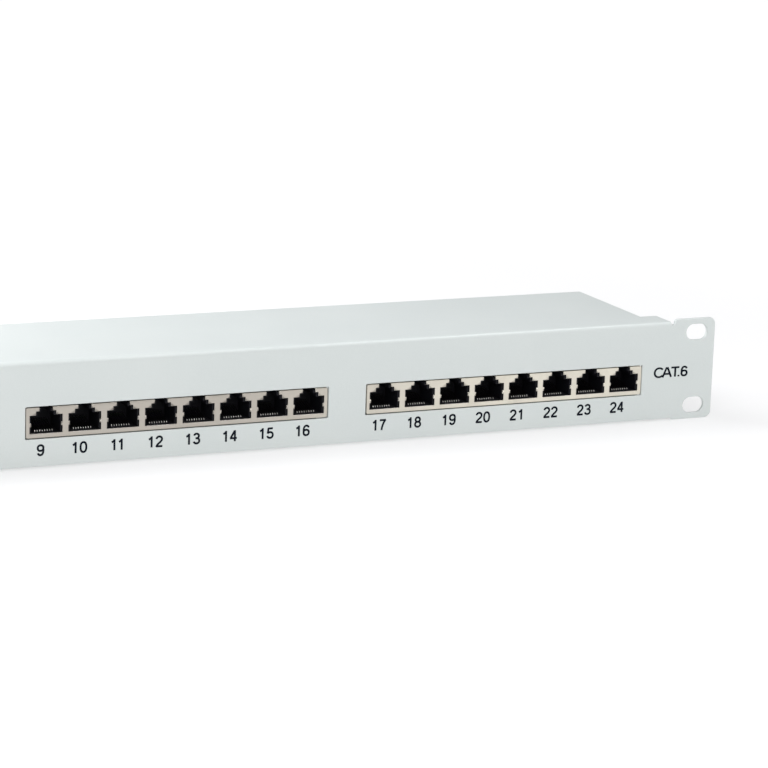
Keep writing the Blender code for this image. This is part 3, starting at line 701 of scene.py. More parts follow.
hoodSettings = {
    "sheet": 1.5,
    "fold": 1.9,
    "rim": 0.28,
    "halfWidth": 241.3,
    "halfHeight": 21.8,
    "earCorner": 3.0,
    "earInner": 221.8,
    "earInnerCorner": 1.2,
    "top": 20.7,
    "bottom": -21.1,
    "notch": [(221.8, 20.2), (221.45, 19.55), (220.75, 19.45)],  # relief between ear and fold
    "strip": (220.4, 14.2),  # half its width, and its depth: the top plate's wider front part
    "stripCorner": 1.2,
    "body": (214.0, 70.0),
    "sideStart": 15.4,
    "sideBottom": -20.6,
    "sideCorner": 1.0,
    "slotCentre": (232.55, 15.875),
    "slotSize": (10.0, 6.8),
    "cutout": (127.1, -10.15, 2.85),
    "cutoutCorner": 0.5,
    "traySlot": (27.0, -12.5, 5.0),
    "setBack": 0.02,  # the thickness of the print, which then ends level with the frame's own face
}


def hoodPatches():
    # flat outlines of front, top and sides, and the quarter bends between them
    s = hoodSettings
    foldZ = s["top"] - s["fold"]
    edge, half, corner = s["halfWidth"], s["halfHeight"], s["earCorner"]
    inner, small = s["earInner"], s["earInnerCorner"]
    strip, stripDepth = s["strip"]
    right = np.vstack([
        [(inner - 0.7, s["bottom"])],
        arcPoints((inner + small, small - half), small, 205, 270, 5),
        arcPoints((edge - corner, corner - half), corner, -90, 0, 12),
        arcPoints((edge - corner, half - corner), corner, 0, 90, 12),
        arcPoints((inner + small, half - small), small, 90, 180, 6),
        [*s["notch"], (strip, foldZ)],
    ])
    front = [np.vstack([right, mirrored(right)])]
    slotX, slotZ = s["slotCentre"]
    front += [slotOutline((x, z), *s["slotSize"]) for x in (-slotX, slotX) for z in (-slotZ, slotZ)]
    width, low, high = s["cutout"]
    for bank in range(3):
        a, b = bankX(bank) - width / 2, bankX(bank) + width / 2
        front.append(roundedOutline([(a, low), (b, low), (b, high), (a, high)], s["cutoutCorner"]))
    body, depth = s["body"]
    foldX = body - s["fold"]
    right = np.vstack([
        [(strip, s["fold"])],
        roundedOutline(
            [(strip, stripDepth), (foldX, stripDepth), (strip, s["fold"])], [s["stripCorner"], 0, 0],
        )[:-2],
        [(foldX, stripDepth), (foldX, s["sideStart"]), (foldX, depth)],
    ])
    patches = [
        flatPatch(front, (0, 0, 0), (1, 0, 0), (0, 0, 1)),
        flatPatch([np.vstack([right, mirrored(right)])], (0, 0, s["top"]), (1, 0, 0), (0, 1, 0)),
        bendPatch((-strip, s["fold"], foldZ), (strip, s["fold"], foldZ), s["fold"], (0, -1, 0), (0, 0, 1)),
    ]
    slotY, slotZ, slotWidth = s["traySlot"]
    start, low = s["sideStart"], s["sideBottom"]
    side = np.vstack([
        [(start, foldZ)],
        roundedOutline([(start, foldZ), (start, low), (depth, low)], [0, s["sideCorner"], 0])[1:-1],
        roundedOutline([(start, low), (depth, low), (depth, slotZ)], [0, s["sideCorner"], 0])[1:-1],
        [(depth, slotZ - slotWidth / 2)],
        arcPoints((slotY, slotZ), slotWidth / 2, 270, 90, 16),
        [(depth, slotZ + slotWidth / 2), (depth, foldZ)],
    ])
    for hand in (-1, 1):
        x = hand * foldX
        patches.append(bendPatch((x, start, foldZ), (x, depth, foldZ), s["fold"], (0, 0, 1), (hand, 0, 0)))
        patches.append(wallPatch([side], hand * body, hand))
    return patches


def makeHood():
    s = hoodSettings
    points, faces, edge = sheetSolid(hoodPatches(), s["sheet"], s["rim"])
    points += (0, s["setBack"], 0)
    makePiece("hood_sheet", points, faces, powderCoat, "panel", ["front_hood"], {"edge": edge})


makeHood()
print("front hood made")


traySettings = {
    "sheet": 1.2,
    "fold": 2.0,
    "rim": 0.22,
    "underside": -20.9,
    "halfWidth": 212.1,
    "front": 1.8,
    "back": 109.0,
    "corner": 6.0,
    "wallFront": 20.0,
    "wallBack": 92.0,
    "wallTop": -6.5,
    "wallSlope": 9.0,
    "wallTail": 3.5,
    "wallCorners": (1.5, 3.0, 2.0),
    "tieCount": 12,
    "tiePitch": 33.0,
    "tieY": 100.0,
    "strap": (5.6, 9.0, 2.6),
    "holeWidth": 9.6,
    "holeRelief": 0.5,
    "screwYs": (27.0, 61.0),
    "screwZ": -12.5,
    "screwHole": 2.3,
}


def tieStrapProfile(length, rise, y, z):
    # a raised cosine ramp up, a level top and the same ramp down
    t = np.linspace(-1, 1, 25)
    ramp = np.clip((1 - np.abs(t)) / 0.55, 0, 1)
    return np.column_stack([y + t * length / 2, z + rise * (1 - np.cos(pi * ramp)) / 2])


def trayPatches():
    # floor with its strap holes, two bends, two walls, and the straps as ribbons in the holes
    s = traySettings
    foldX, foldZ = s["halfWidth"] - s["fold"], s["underside"] + s["fold"]
    corner = (foldX - s["corner"], s["back"] - s["corner"])
    right = np.vstack([
        [(foldX, s["front"]), (foldX, s["wallFront"]), (foldX, s["wallBack"])],
        arcPoints(corner, s["corner"], 0, 90, 12),
    ])
    width, length, rise = s["strap"]
    wide, half, end = s["holeWidth"] / 2, length / 2, length / 2 + s["holeRelief"]
    neck = wide / 2 + width / 4
    hole = [(-wide, -end), (-neck, -end), (-width / 2, -half), (width / 2, -half), (neck, -end), (wide, -end)]
    hole = np.array(hole + [(-u, -v) for u, v in hole])
    profile = tieStrapProfile(length, rise, s["tieY"], s["underside"])
    tieXs = (np.arange(s["tieCount"]) - (s["tieCount"] - 1) / 2) * s["tiePitch"]
    holes = [hole + (x, s["tieY"]) for x in tieXs]
    patches = [floorPatch([np.vstack([right, mirrored(right)]), *holes], s["underside"])]
    patches += [ribbonPatch(profile, width / 2, x) for x in tieXs]
    front, back = s["wallFront"], s["wallBack"]
    base, top = [(front, foldZ), (back, foldZ)], s["wallTop"]
    slope = [(back, foldZ + s["wallTail"]), (back - s["wallSlope"], top), (front, top)]
    wall = np.vstack([base, roundedOutline(base + slope, [0, 0, *s["wallCorners"]])[2:]])
    bore = 2 * s["screwHole"]
    bores = [slotOutline((y, s["screwZ"]), bore + 0.01, bore, 10) for y in s["screwYs"]]
    for hand in (-1, 1):
        x = hand * foldX
        patches.append(bendPatch((x, front, foldZ), (x, back, foldZ), s["fold"], (0, 0, -1), (hand, 0, 0)))
        patches.append(wallPatch([wall, *bores], hand * s["halfWidth"], hand))
    return patches


def makeTray():
    s = traySettings
    points, faces, edge = sheetSolid(trayPatches(), s["sheet"], s["rim"], support=0.2)
    makePiece("tray_sheet", points, faces, powderCoat, "tray", ["cable_tray"], {"edge": edge})


makeTray()
print("cable tray made")


# thin nickel boxes with stepped openings, and the springs that earth a plug
shieldSettings = {
    "sheet": 0.4,
    "fold": 0.32,
    "rim": 0.08,
    "halfWidth": 63.22,
    "shift": (0.0, 0.0, 0.2),
    "low": -9.8,
    "high": 2.5,
    "front": 0.3,
    "back": 15.2,
    "latchDepth": 3.2,
    "latchCorner": 0.3,
    "cornerGap": 0.06,
    "notchCorner": 0.06,
    "halfWidths": (6.68, 4.1, 2.72),
    "levels": (-8.0, -0.65, 0.95),
    "springLevels": (-5.2, -3.7),
    "springReach": 0.62,
    "springLean": (0.12, 0.30),  # from the tab's edge, and out to the wall
    "springLength": 4.6,
}


def shieldPatches(bank):
    # the front with its eight openings, the bends round it, and the four sides running back
    s = shieldSettings
    bankMiddle = bankX(bank) + s["shift"][bank]
    x0, x1 = bankMiddle - s["halfWidth"], bankMiddle + s["halfWidth"]
    y, back, fold, gap = s["front"], s["back"], s["fold"], s["cornerGap"]
    left, right, low, high = x0 + fold, x1 - fold, s["low"] + fold, s["high"] - fold
    a, b = left + gap, right - gap
    wide, middle, narrow = s["halfWidths"]
    floor, step, shoulder = s["levels"]
    centres = np.array([portX(bank, port) for port in range(layout["portsPerBank"])])
    tabLow, tabHigh = s["springLevels"]
    tab = wide - s["springReach"]
    half = np.array([
        (narrow, high), (narrow, shoulder), (middle, shoulder), (middle, step), (wide, step),
        (wide, tabHigh), (tab, tabHigh), (tab, tabLow), (wide, tabLow), (wide, floor),
    ])
    rounding = [0] + [s["notchCorner"]] * (2 * len(half) - 2) + [0]
    notch = roundedOutline(np.vstack([half, half[::-1] * (-1, 1)]), rounding, 2)
    # the front runs along the bottom, up the right, and back along the top, down into every socket
    front = np.vstack([
        [(a, low), (b, low), (right, low + gap), (right, high - gap), (b, high)],
        *[notch + (x, 0) for x in centres[::-1]],
        [(a, high), (left, high - gap), (left, low + gap)],
    ])
    patches = [flatPatch([front], (0, y, 0), (1, 0, 0), (0, 0, 1))]

    def addBend(start, end, toAxis):
        # one edge of the front turned back
        start, end = (start[0], y + fold, start[1]), (end[0], y + fold, end[1])
        patches.append(bendPatch(start, end, fold, (0, -1, 0), toAxis, steps=4))

    notchSides = np.column_stack([centres - narrow, centres + narrow]).ravel()
    for start, end in np.concatenate([[a], notchSides, [b]]).reshape(-1, 2):
        addBend((start, high), (end, high), (0, 0, 1))
    addBend((a, low), (b, low), (0, 0, -1))
    side = [(y + fold, low + gap), (back, low + gap), (back, high - gap), (y + fold, high - gap)]
    for hand, inner, outer in ((-1, left, x0), (1, right, x1)):
        addBend((inner, low + gap), (inner, high - gap), (hand, 0, 0))
        patches.append(wallPatch([side], outer, hand))
    latch = s["latchDepth"]
    cut = np.array([(-narrow, y + fold), (-narrow, latch), (narrow, latch), (narrow, y + fold)])
    cut = roundedOutline(cut, [0, s["latchCorner"], s["latchCorner"], 0], 2)
    cuts = np.vstack([cut + (x, 0) for x in centres])
    plate = np.vstack([[(a, y + fold)], cuts, [(b, y + fold), (b, back), (a, back)]])
    patches.append(flatPatch([plate], (0, 0, s["high"]), (1, 0, 0), (0, 1, 0)))
    patches.append(floorPatch([[(a, y + fold), (b, y + fold), (b, back), (a, back)]], s["low"]))
    return patches


def earthSpring(hand):
    # a leaf that turns back from the tab and leans out to the socket's wall as a cosine
    s = shieldSettings
    start, lean = s["springLean"]
    edge = s["halfWidths"][0] - s["springReach"] + start
    t = np.linspace(0, 1, 13)
    low, high = s["springLevels"]
    x = hand * (edge + lean * (1 - np.cos(pi * t)) / 2)
    y = s["front"] + 0.25 + s["springLength"] * t
    path = np.column_stack([x, y, np.full_like(t, (low + high) / 2)])
    return strandAlong(path, (0, 0, 1), (high - low) / 2 - 0.2, 0.07)


def makeShields():
    s = shieldSettings
    springs = [earthSpring(hand) for hand in (-1, 1)]
    for bank, letter in enumerate(layout["banks"]):
        points, faces, edge = sheetSolid(shieldPatches(bank), s["sheet"], s["rim"], support=0.08)
        replaced = [f"jack_shield_{letter}"]
        makePiece(f"shield_box_{letter}", points, faces, satinNickel, "panel", replaced, {"edge": edge})
        places = [(portX(bank, port), 0, 0) for port in range(layout["portsPerBank"])]
        points, faces = joined([copiesAt(*spring, places) for spring in springs])
        makePiece(f"earth_springs_{letter}", points, faces, satinNickel, "panel")


makeShields()
print("jack shields made")


# contact wires and the combs that keep them apart
contactSettings = {
    "count": 8,
    "pitch": 1.02,
    "halfWidth": 0.15,
    "halfHeight": 0.12,
    "floor": -8.1,
    "nose": 3.7,
    "turn": (0.45, 0.42),  # radius along Y and along Z
    "back": 12.6,
    "rise": 2.4,
    "combRidge": 0.22,
    # painted light: the tip's end bounds a painted glint; the tip colour is that glint, near white, and the
    # spring colour is painted shade, near black, for the dark inside the socket
    "glintEnd": 4.35,
    "glintColour": (1.0, 0.98, 0.93),
    "shadedSpringColour": (0.045, 0.032, 0.018),
}


def contactWire():
    # out of the floor at the nose, a tight turn, then a straight spring rising to the back
    s = contactSettings
    nose, floor = s["nose"], s["floor"]
    deep, tall = s["turn"]
    a = np.radians(np.linspace(-70, 110, 9))
    turn = np.column_stack([nose + deep - deep * np.cos(a), floor + 0.30 + tall * np.sin(a)])
    t = np.linspace(0.12, 1, 6)[:, None]
    rise = turn[-1] + t * np.array([s["back"] - turn[-1][0], s["rise"]])
    start = [(nose + 2.4, floor + 0.05), (nose + 1.2, floor - 0.06)]
    yz = np.vstack([start, turn, rise])
    path = np.column_stack([np.zeros(len(yz)), yz])
    points, faces = strandAlong(path, (1, 0, 0), s["halfWidth"], s["halfHeight"])
    # the third value is the mask of the painted glint: 1 at the nose, fading out just behind the tip's end
    return points, faces, np.clip((s["glintEnd"] - points[:, 1]) / 0.5, 0, 1)


def combSurface():
    # ridges across the socket's floor: height is a flat-topped cosine of x, carried along y
    s = contactSettings
    half = s["pitch"] * (s["count"] / 2 + 0.5)
    x = np.linspace(-half, half, 12 * (s["count"] + 1) + 1)
    wave = np.clip(0.5 + 1.6 * np.cos(2 * pi * x / s["pitch"]), 0, 1)
    z = np.concatenate([s["floor"] + 0.04 + s["combRidge"] * wave, [s["floor"] + 0.02] * 2])
    x = np.concatenate([x, [half, -half]])
    ends = (s["nose"] + 0.9, s["back"] - 0.2)
    points = np.vstack([np.column_stack([x, np.full_like(x, y), z]) for y in ends])
    count = len(x)
    sides = gridFaces(2, count, closeColumns=True)
    i = np.arange(count - 3)
    caps = np.column_stack([i, i + 1, np.where(i < (count - 3) / 2, count - 1, count - 2)])
    return points, [sides, caps[:, ::-1], caps + count]


def contactFinish():
    # plated wire: the tip attribute mixes a painted glint, a near-white tip, into a spring painted near black
    # as the painted shade deep in the socket; tarnish clouds pull it further toward that shade colour; fine
    # drawn grain sets the roughness
    s = contactSettings
    material, w, shader, where = newFinish("platedContactPaintedLight")
    metal = useGroup(w, rolledMetal, Position=where, Stretch=(900.0, 300.0, 900.0))
    base = w.mixColour(w.attribute("tip"), rgba(s["shadedSpringColour"]), rgba(s["glintColour"]))
    base = w.mixColour(w.times(metal["Tarnish"], 0.3), base, rgba(s["shadedSpringColour"]))
    w.put(shader.inputs["Base Color"], base)
    shader.inputs["Metallic"].default_value = 1.0
    addRoughness(w, shader, 0.28, (metal["Grain"], 0.2))
    addBump(w, shader, metal["Grain"], 0.05, 0.0001)
    return material


platedContactPaintedLight = contactFinish(), "brass"


def makeContacts():
    s = contactSettings
    *wire, glintTips = contactWire()
    comb = combSurface()
    offsets = (np.arange(s["count"]) - (s["count"] - 1) / 2) * s["pitch"]
    for bank, letter in enumerate(layout["banks"]):
        centres = [portX(bank, port) for port in range(layout["portsPerBank"])]
        points, faces = copiesAt(*wire, [(x + d, 0, 0) for x in centres for d in offsets])
        marks = {"tip": np.tile(glintTips, len(centres) * len(offsets))}
        makePiece(f"contact_wires_{letter}", points, faces, platedContactPaintedLight, "panel", attributes=marks)
        points, faces = copiesAt(*comb, [(x, 0, 0) for x in centres])
        makePiece(f"contact_combs_{letter}", points, faces, blackMoulding, "panel", smooth=False)


makeContacts()
print("contacts made")


# frame pieces kept as they are: finish and bevel for each kind of piece
bevelWidths = {
    "jack_housing": (blackMoulding, 0.12),
    "circuit_board": (boardGreen, 0.08),
    "punch_block": (whiteMoulding, 0.18),
    "standoff": (machinedBrass, 0.15),
}


def finishFramePieces():
    # triangles welded, then a fine bevel on every edge sharper than 40 degrees
    for name, node in nodes.items():
        for stem, ((material, _), width) in bevelWidths.items():
            if not name.startswith(stem):
                continue
            node.data.materials.clear()
            node.data.materials.append(material)
            weld = node.modifiers.new("weld", "WELD")
            weld.merge_threshold = 0.01 * mm
            bevel = node.modifiers.new("fineBevel", "BEVEL")
            bevel.width = width * mm
            bevel.segments = 2
            bevel.limit_method = "ANGLE"
            bevel.angle_limit = radians(40)
            bevel.harden_normals = True


finishFramePieces()
print("carried-over pieces finished")


# solder joints, wire clips and colour-code strips behind the boards
backSettings = {
    "boardBack": 18.6,
    "blockBase": 5.0,
    "blockWidth": 30.9,
    "blockSlot": 1.2,
    "rowZ": (7.0, -9.0),
    "wires": 8,
    "clip": (6.2, 3.1, 0.09),  # length, half its height, half its thickness
    "clipOpening": (0.30, 0.16),  # half a clip's mouth, and how far its blades bow in
    "solder": (0.62, 0.55),  # radius, height
    "solderZ": (-1.6, -0.35),  # of a wire's joint and of its partner's
    "strip": (14.3, 2.0, 0.18),  # middle, height, thickness
    "stripGap": 0.12,
}


def solderCone(radius, height):
    # a fillet: radius shrinks with the square of the height, and a short pin stands out of it
    t = np.linspace(0, 1, 4)
    profile = [(radius * (1 - 0.72 * v ** 0.6), height * v * v) for v in t]
    profile += [(0.28 * radius, height * 1.7), (0.0, height * 1.8)]
    return revolved(profile, 8)


def wireClip():
    # a flat spring blade, bowed at its mouth, standing in one slot of a punch-down block
    s = backSettings
    length, halfHeight, halfThickness = s["clip"]
    mouth, bow = s["clipOpening"]
    t = np.linspace(0, 1, 7)
    y = s["boardBack"] + 0.4 + s["blockBase"] + t * length
    x = mouth - bow * np.sin(pi * t) ** 2
    paths = [np.column_stack([hand * x, y, np.zeros_like(y)]) for hand in (-1, 1)]
    return joined([strandAlong(path, (0, 0, 1), halfHeight, halfThickness) for path in paths])


def blockCentres(bank):
    pairs = range(layout["portsPerBank"] // 2)
    return [(portX(bank, 2 * i) + portX(bank, 2 * i + 1)) / 2 for i in pairs]


def slotOffsets():
    s = backSettings
    pitch = (s["blockWidth"] - s["blockSlot"]) / s["wires"]
    return (np.arange(s["wires"]) - (s["wires"] - 1) / 2) * pitch


def colourStrip(centres):
    # a thin raised label: one field for every wire, carrying its pair number and its kind
    s = backSettings
    offsets = slotOffsets()
    z, height, thickness = s["strip"]
    halfField = (offsets[1] - offsets[0]) / 2 - s["stripGap"]
    unit = np.array([(u, d, v) for u, v in ((-1, -1), (1, -1), (1, 1), (-1, 1)) for d in (0, 1)], float)
    box = np.array([(0, 1, 3, 2), (2, 3, 5, 4), (4, 5, 7, 6), (6, 7, 1, 0), (1, 7, 5, 3), (0, 2, 4, 6)])
    places = [(x + d, s["boardBack"] + 0.05, z) for x in centres for d in offsets]
    points, faces = copiesAt(unit * (halfField, thickness, height / 2), box[:, ::-1], places)
    wire = np.repeat(np.tile(np.arange(s["wires"]), len(centres)), len(unit))
    return points, faces, {"pair": wire // 2, "field": 1 + wire % 2}


def makeBoardBacks():
    s = backSettings
    clip = wireClip()
    cone = solderCone(*s["solder"])
    cone = (turnedAxes(cone[0], (0, 1, 0)), cone[1])
    offsets = slotOffsets()
    for bank, letter in enumerate(layout["banks"]):
        centres = blockCentres(bank)
        points, faces = copiesAt(*clip, [(x + d, 0, z) for z in s["rowZ"] for x in centres for d in offsets])
        makePiece(f"wire_clips_{letter}", points, faces, tinnedClip, "panel")
        spots = [(x + d, s["boardBack"], s["solderZ"][i % 2]) for x in centres for i, d in enumerate(offsets)]
        points, faces = copiesAt(*cone, spots)
        closeSeams(makePiece(f"solder_joints_{letter}", points, faces, tinnedClip, "panel"))
        points, faces, marks = colourStrip(centres)
        makePiece(f"colour_code_{letter}", points, faces, colourCode, "panel", attributes=marks, smooth=False)


makeBoardBacks()
print("backs of the boards made")


screwSettings = {
    "tray": {"shank": 2.0, "length": 4.8, "head": 3.9, "height": 2.4, "recess": (1.9, 0.42, 1.35)},
    "board": {"shank": 1.3, "length": 6.6, "head": 2.3, "height": 1.6, "recess": (1.25, 0.28, 0.9)},
    "threadPitch": 0.8,
    "threadDepth": 0.16,
    "trayHeadGap": 0.3,  # from the hood's side to a head
    "boardPlace": (55.0, 18.9, 15.3),  # from the middle of a bank
}


def crossScrew(kind):
    # head: a dome over (radius, angle), less a cross whose depth fades at its arms' edges and ends;
    # shank: radius with a helical ripple, height going down
    s = screwSettings[kind]
    reach, arm, depth = s["recess"]
    r = np.concatenate([np.linspace(0, reach * 1.15, 22), np.linspace(reach * 1.25, s["head"], 12)])
    a = turnAngles(96)
    dome = s["height"] * (0.30 + 0.70 * np.sqrt(np.clip(1 - (r / s["head"]) ** 2.6, 0, 1)))
    x, y = r * np.cos(a), r * np.sin(a)
    across, along = np.minimum(np.abs(x), np.abs(y)), np.maximum(np.abs(x), np.abs(y))
    taper = arm * (1 - 0.25 * along / reach)
    sideFade = np.clip((taper - across) / 0.12 + 0.5, 0, 1)
    endFade = np.clip((reach - along) / (0.35 * reach), 0, 1)
    head = ringPoints(r, dome - depth * np.minimum(sideFade, endFade ** 0.7), a)
    under = ringPoints(
        np.array([s["head"], s["head"] - 0.15, s["shank"]]), np.array([s["height"] * 0.12, 0.0, 0.0]), a,
    )
    down = np.linspace(0, s["length"], 41)
    turns = down / screwSettings["threadPitch"]
    groove = screwSettings["threadDepth"] * (0.5 - 0.5 * np.cos(2 * pi * turns - a))
    fade = np.clip(down / 0.6, 0, 1) * np.clip((s["length"] - down) / 0.3, 0, 1)
    shank = ringPoints(s["shank"] - groove * fade, -down, a)
    tip = ringPoints(np.zeros(1), np.array([-s["length"]]), a)
    points = np.concatenate([head, under, shank, tip], 1)
    return points.reshape(-1, 3), gridFaces(len(a), points.shape[1], closeRows=True)[:, ::-1]


def makeScrews():
    s = screwSettings
    trayYs, trayZ = traySettings["screwYs"], traySettings["screwZ"]
    trayX = hoodSettings["body"][0] + s["trayHeadGap"]
    points, faces = crossScrew("tray")
    for hand, side in ((-1, "left"), (1, "right")):
        laid = turnedAxes(points, (hand, 0, 0))
        for y, end in zip(trayYs, ("front", "rear")):
            name = f"tray_screw_{side}_{end}"
            place = laid + (hand * trayX, y, trayZ)
            closeSeams(makePiece(f"{name}_turned", place, faces, brightZinc, "tray", [name]))
    points, faces = crossScrew("board")
    laid = turnedAxes(points, (0, 1, 0))
    boardX, boardY, boardZ = s["boardPlace"]
    for bank, letter in enumerate(layout["banks"]):
        for hand, side in ((-1, "left"), (1, "right")):
            name = f"board_screw_{letter}_{side}"
            place = laid + (bankX(bank) + hand * boardX, boardY, boardZ)
            closeSeams(makePiece(f"{name}_turned", place, faces, brightZinc, "panel", [name]))


makeScrews()

earthSettings = {
    "place": (198.0, 82.0, -19.4),
    "stud": (2.0, 13.0, 0.7),  # radius, length, thread pitch
    "threadDepth": 0.34,
    "washer": (4.5, 2.35, 0.9),  # outer radius, bore, height
    "teeth": 15,
    "nut": (3.5, 2.3, 3.2),  # half across the flats, bore, height
    "gap": 0.3,  # between washer and nut
}


def threadedStud():
    # radius = a triangle wave of (height / pitch + angle), with chamfered ends
    radius, length, pitch = earthSettings["stud"]
    a = turnAngles(40)
    z = np.linspace(0, length, 131)
    wave = np.abs((z / pitch - a / (2 * pi)) % 1 * 2 - 1)
    chamfer = np.clip(np.minimum(z, length - z) / 0.5, 0, 1)
    r = (radius - earthSettings["threadDepth"] * (1 - wave)) * (0.78 + 0.22 * chamfer)
    poles = [ringPoints(np.zeros(1), np.array([h]), a) for h in (0.0, length)]
    points = np.concatenate([poles[0], ringPoints(r, z, a), poles[1]], 1)
    return points.reshape(-1, 3), gridFaces(len(a), points.shape[1], closeRows=True)


def hexNut():
    # outside radius follows a hexagon, cut by a 30 degree cone at top and bottom; a plain bore
    flat, bore, height = earthSettings["nut"]
    a = turnAngles(72)
    hexagon = flat / np.cos((a + pi / 6) % (pi / 3) - pi / 6)
    v = np.array([0, 0.04, 0.12, 0.2, 0.35, 0.65, 0.8, 0.88, 0.96, 1.0])
    cone = flat + np.minimum(v, 1 - v) * height * 1.7
    inside = np.array([(bore + 0.35, height), (bore, height - 0.3), (bore, 0.3), (bore + 0.35, 0.0)])
    outside = ringPoints(np.minimum(hexagon, cone), v * height, a)
    points = np.concatenate([outside, ringPoints(*inside.T, a)], 1)
    return points.reshape(-1, 3), gridFaces(len(a), points.shape[1], closeRows=True, closeColumns=True)


def toothedWasher():
    # a ring whose outer edge is a soft saw wave of the angle, twisted out of its plane
    outer, bore, height = earthSettings["washer"]
    count = earthSettings["teeth"]
    a = turnAngles(120)
    rim = outer - 0.6 * (0.5 - 0.5 * np.tanh(3 * np.sin(count * a)))
    thick, middle = 0.35 * height, height / 2
    twist = (height - thick) / 2 * np.sin(count * a + 1.2)
    low, high = middle - thick / 2, middle + thick / 2
    inside = np.array([(bore + 0.9, high), (bore, high - 0.05), (bore, low + 0.05), (bore + 0.9, low)])
    outside = [ringPoints(rim, level + twist, a) for level in (low, high)]
    points = np.concatenate([*outside, ringPoints(*inside.T, a)], 1)
    return points.reshape(-1, 3), gridFaces(len(a), points.shape[1], closeRows=True, closeColumns=True)


def makeEarthTerminal():
    s = earthSettings
    place = np.array(s["place"])
    nutPlace = place + (0, 0, s["washer"][2] + s["gap"])
    points, faces = threadedStud()
    closeSeams(makePiece("earth_stud_thread", points + place, faces, brightZinc, "tray", ["earth_stud"]))
    points, faces = toothedWasher()
    makePiece("earth_washer_toothed", points + place, faces, brightZinc, "tray", ["earth_washer"])
    points, faces = hexNut()
    makePiece("earth_nut_hex", points + nutPlace, faces, machinedBrass, "tray", ["earth_nut"])


makeEarthTerminal()
print("fasteners made")


# numbers and category marking, drawn with strokes and laid on the hood's face
printSettings = {
    "height": 4.5,
    "baseline": -16.8,
    "shift": (-2.50, -2.50, -2.64),
    "pitch": 15.67,
    "ink": 0.02,
    "stroke": 0.188,
    "digitStep": 0.777,
    "closer": {"11": 0.11, "CA": 0.173, "AT": 0.10, "T.": 0.28, ".6": 0.053},
    "category": ("CAT.6", 212.8, -3.05, 4.35, 1.15),  # words, left end, baseline, height, stretch
}


def curl(x, y, width, height, start, end, steps=14, fullness=2.3):
    # a superellipse about (x, y) from one angle to the other, as the bowl of a letter
    a = np.radians(np.linspace(start, end, steps + 1))
    c, d = np.cos(a), np.sin(a)
    across, up = (np.sign(v) * np.abs(v) ** (2 / fullness) for v in (c, d))
    return np.column_stack([x + width * across, y + height * up])


def line(*points):
    return np.array(points, float)


two = np.vstack([
    curl(0, 0.705, 0.252, 0.235, 176, -22, 14, 2.1),
    line((0.12, 0.46), (-0.10, 0.28), (-0.22, 0.14), (-0.255, 0.0)),
])
six = [curl(0, 0.31, 0.252, 0.247, 0, 360, 24), curl(0.012, 0.50, 0.264, 0.44, 190, 32, 14)]
# each sign's strokes, for a height of 1
signs = {
    "0": [curl(0, 0.5, 0.262, 0.44, 0, 360, 28)],
    "1": [line((0.07, 0), (0.07, 1)), line((0.085, 0.93), (0.0, 0.83), (-0.09, 0.77), (-0.19, 0.73))],
    "2": [two, line((-0.30, 0.06), (0.30, 0.06))],
    "3": [
        curl(-0.01, 0.735, 0.225, 0.205, 168, -90, 16, 2.1),
        line((-0.10, 0.53), (0.0, 0.53)),
        curl(-0.005, 0.295, 0.262, 0.235, 90, -168, 16, 2.1),
    ],
    "4": [line((0.13, 0), (0.13, 1)), line((0.115, 0.97), (-0.27, 0.30)), line((-0.33, 0.29), (0.32, 0.29))],
    "5": [
        line((-0.19, 0.93), (0.26, 0.93)),
        line((-0.155, 0.985), (-0.225, 0.46)),
        curl(0, 0.325, 0.265, 0.265, 146, -166, 20, 2.1),
    ],
    "6": six,
    "7": [
        line((-0.30, 0.93), (0.31, 0.93)),
        line((0.27, 0.96), (0.12, 0.74), (0.0, 0.48), (-0.07, 0.22), (-0.10, 0.0)),
    ],
    "8": [curl(0, 0.735, 0.218, 0.205, 0, 360, 22, 2.1), curl(0, 0.295, 0.258, 0.235, 0, 360, 24, 2.1)],
    "9": [(0, 1) - stroke for stroke in six],
    "C": [curl(0.01, 0.5, 0.425, 0.445, 38, 322, 26, 2.1)],
    "A": [line((-0.41, 0), (-0.03, 1)), line((0.03, 1), (0.41, 0)), line((-0.29, 0.33), (0.29, 0.33))],
    "T": [line((-0.39, 0.93), (0.39, 0.93)), line((0, 0), (0, 0.98))],
    ".": [line((0, 0), (0, 0.16))],
}
signSteps = {"C": 0.95, "A": 0.93, "T": 0.85, ".": 0.39}  # how far the next sign stands from it


def stepOf(sign):
    return signSteps.get(sign, printSettings["digitStep"])


def strokeQuads(path, width):
    # the path moved half a width to each side along its mitred normal, one quad for each step
    closed = np.allclose(path[0], path[-1])
    step = np.diff(path, axis=0)
    side = np.column_stack([-step[:, 1], step[:, 0]]) / np.linalg.norm(step, axis=1)[:, None]
    before = np.vstack([side[-1:] if closed else side[:1], side])
    after = np.vstack([side, side[:1] if closed else side[-1:]])
    mitre = (before + after) / (1 + (before * after).sum(1))[:, None]
    left, right = path + mitre * width / 2, path - mitre * width / 2
    return np.stack([left[:-1], right[:-1], right[1:], left[1:]], 1)


def signSheet(sign, width):
    # one sign's strokes made a single flat sheet: the triangles whose middle lies in any stroke
    quads = np.vstack([strokeQuads(stroke, width) for stroke in signs[sign]])
    starts = np.arange(4 * len(quads)).reshape(-1, 4)
    edges = np.stack([starts, np.roll(starts, -1, 1)], 2).reshape(-1, 2)
    flat = [Vector(q) for q in quads.reshape(-1, 2).tolist()]
    points, _, triangles = delaunay_2d_cdt(flat, edges.tolist(), [], 0, 1e-4)[:3]
    points, triangles = np.array([tuple(q) for q in points]), np.array(triangles)
    middles = points[triangles].mean(1)
    inked = np.any([insideOutlines(middles, [quad]) for quad in quads], 0)
    return points, triangles[inked]


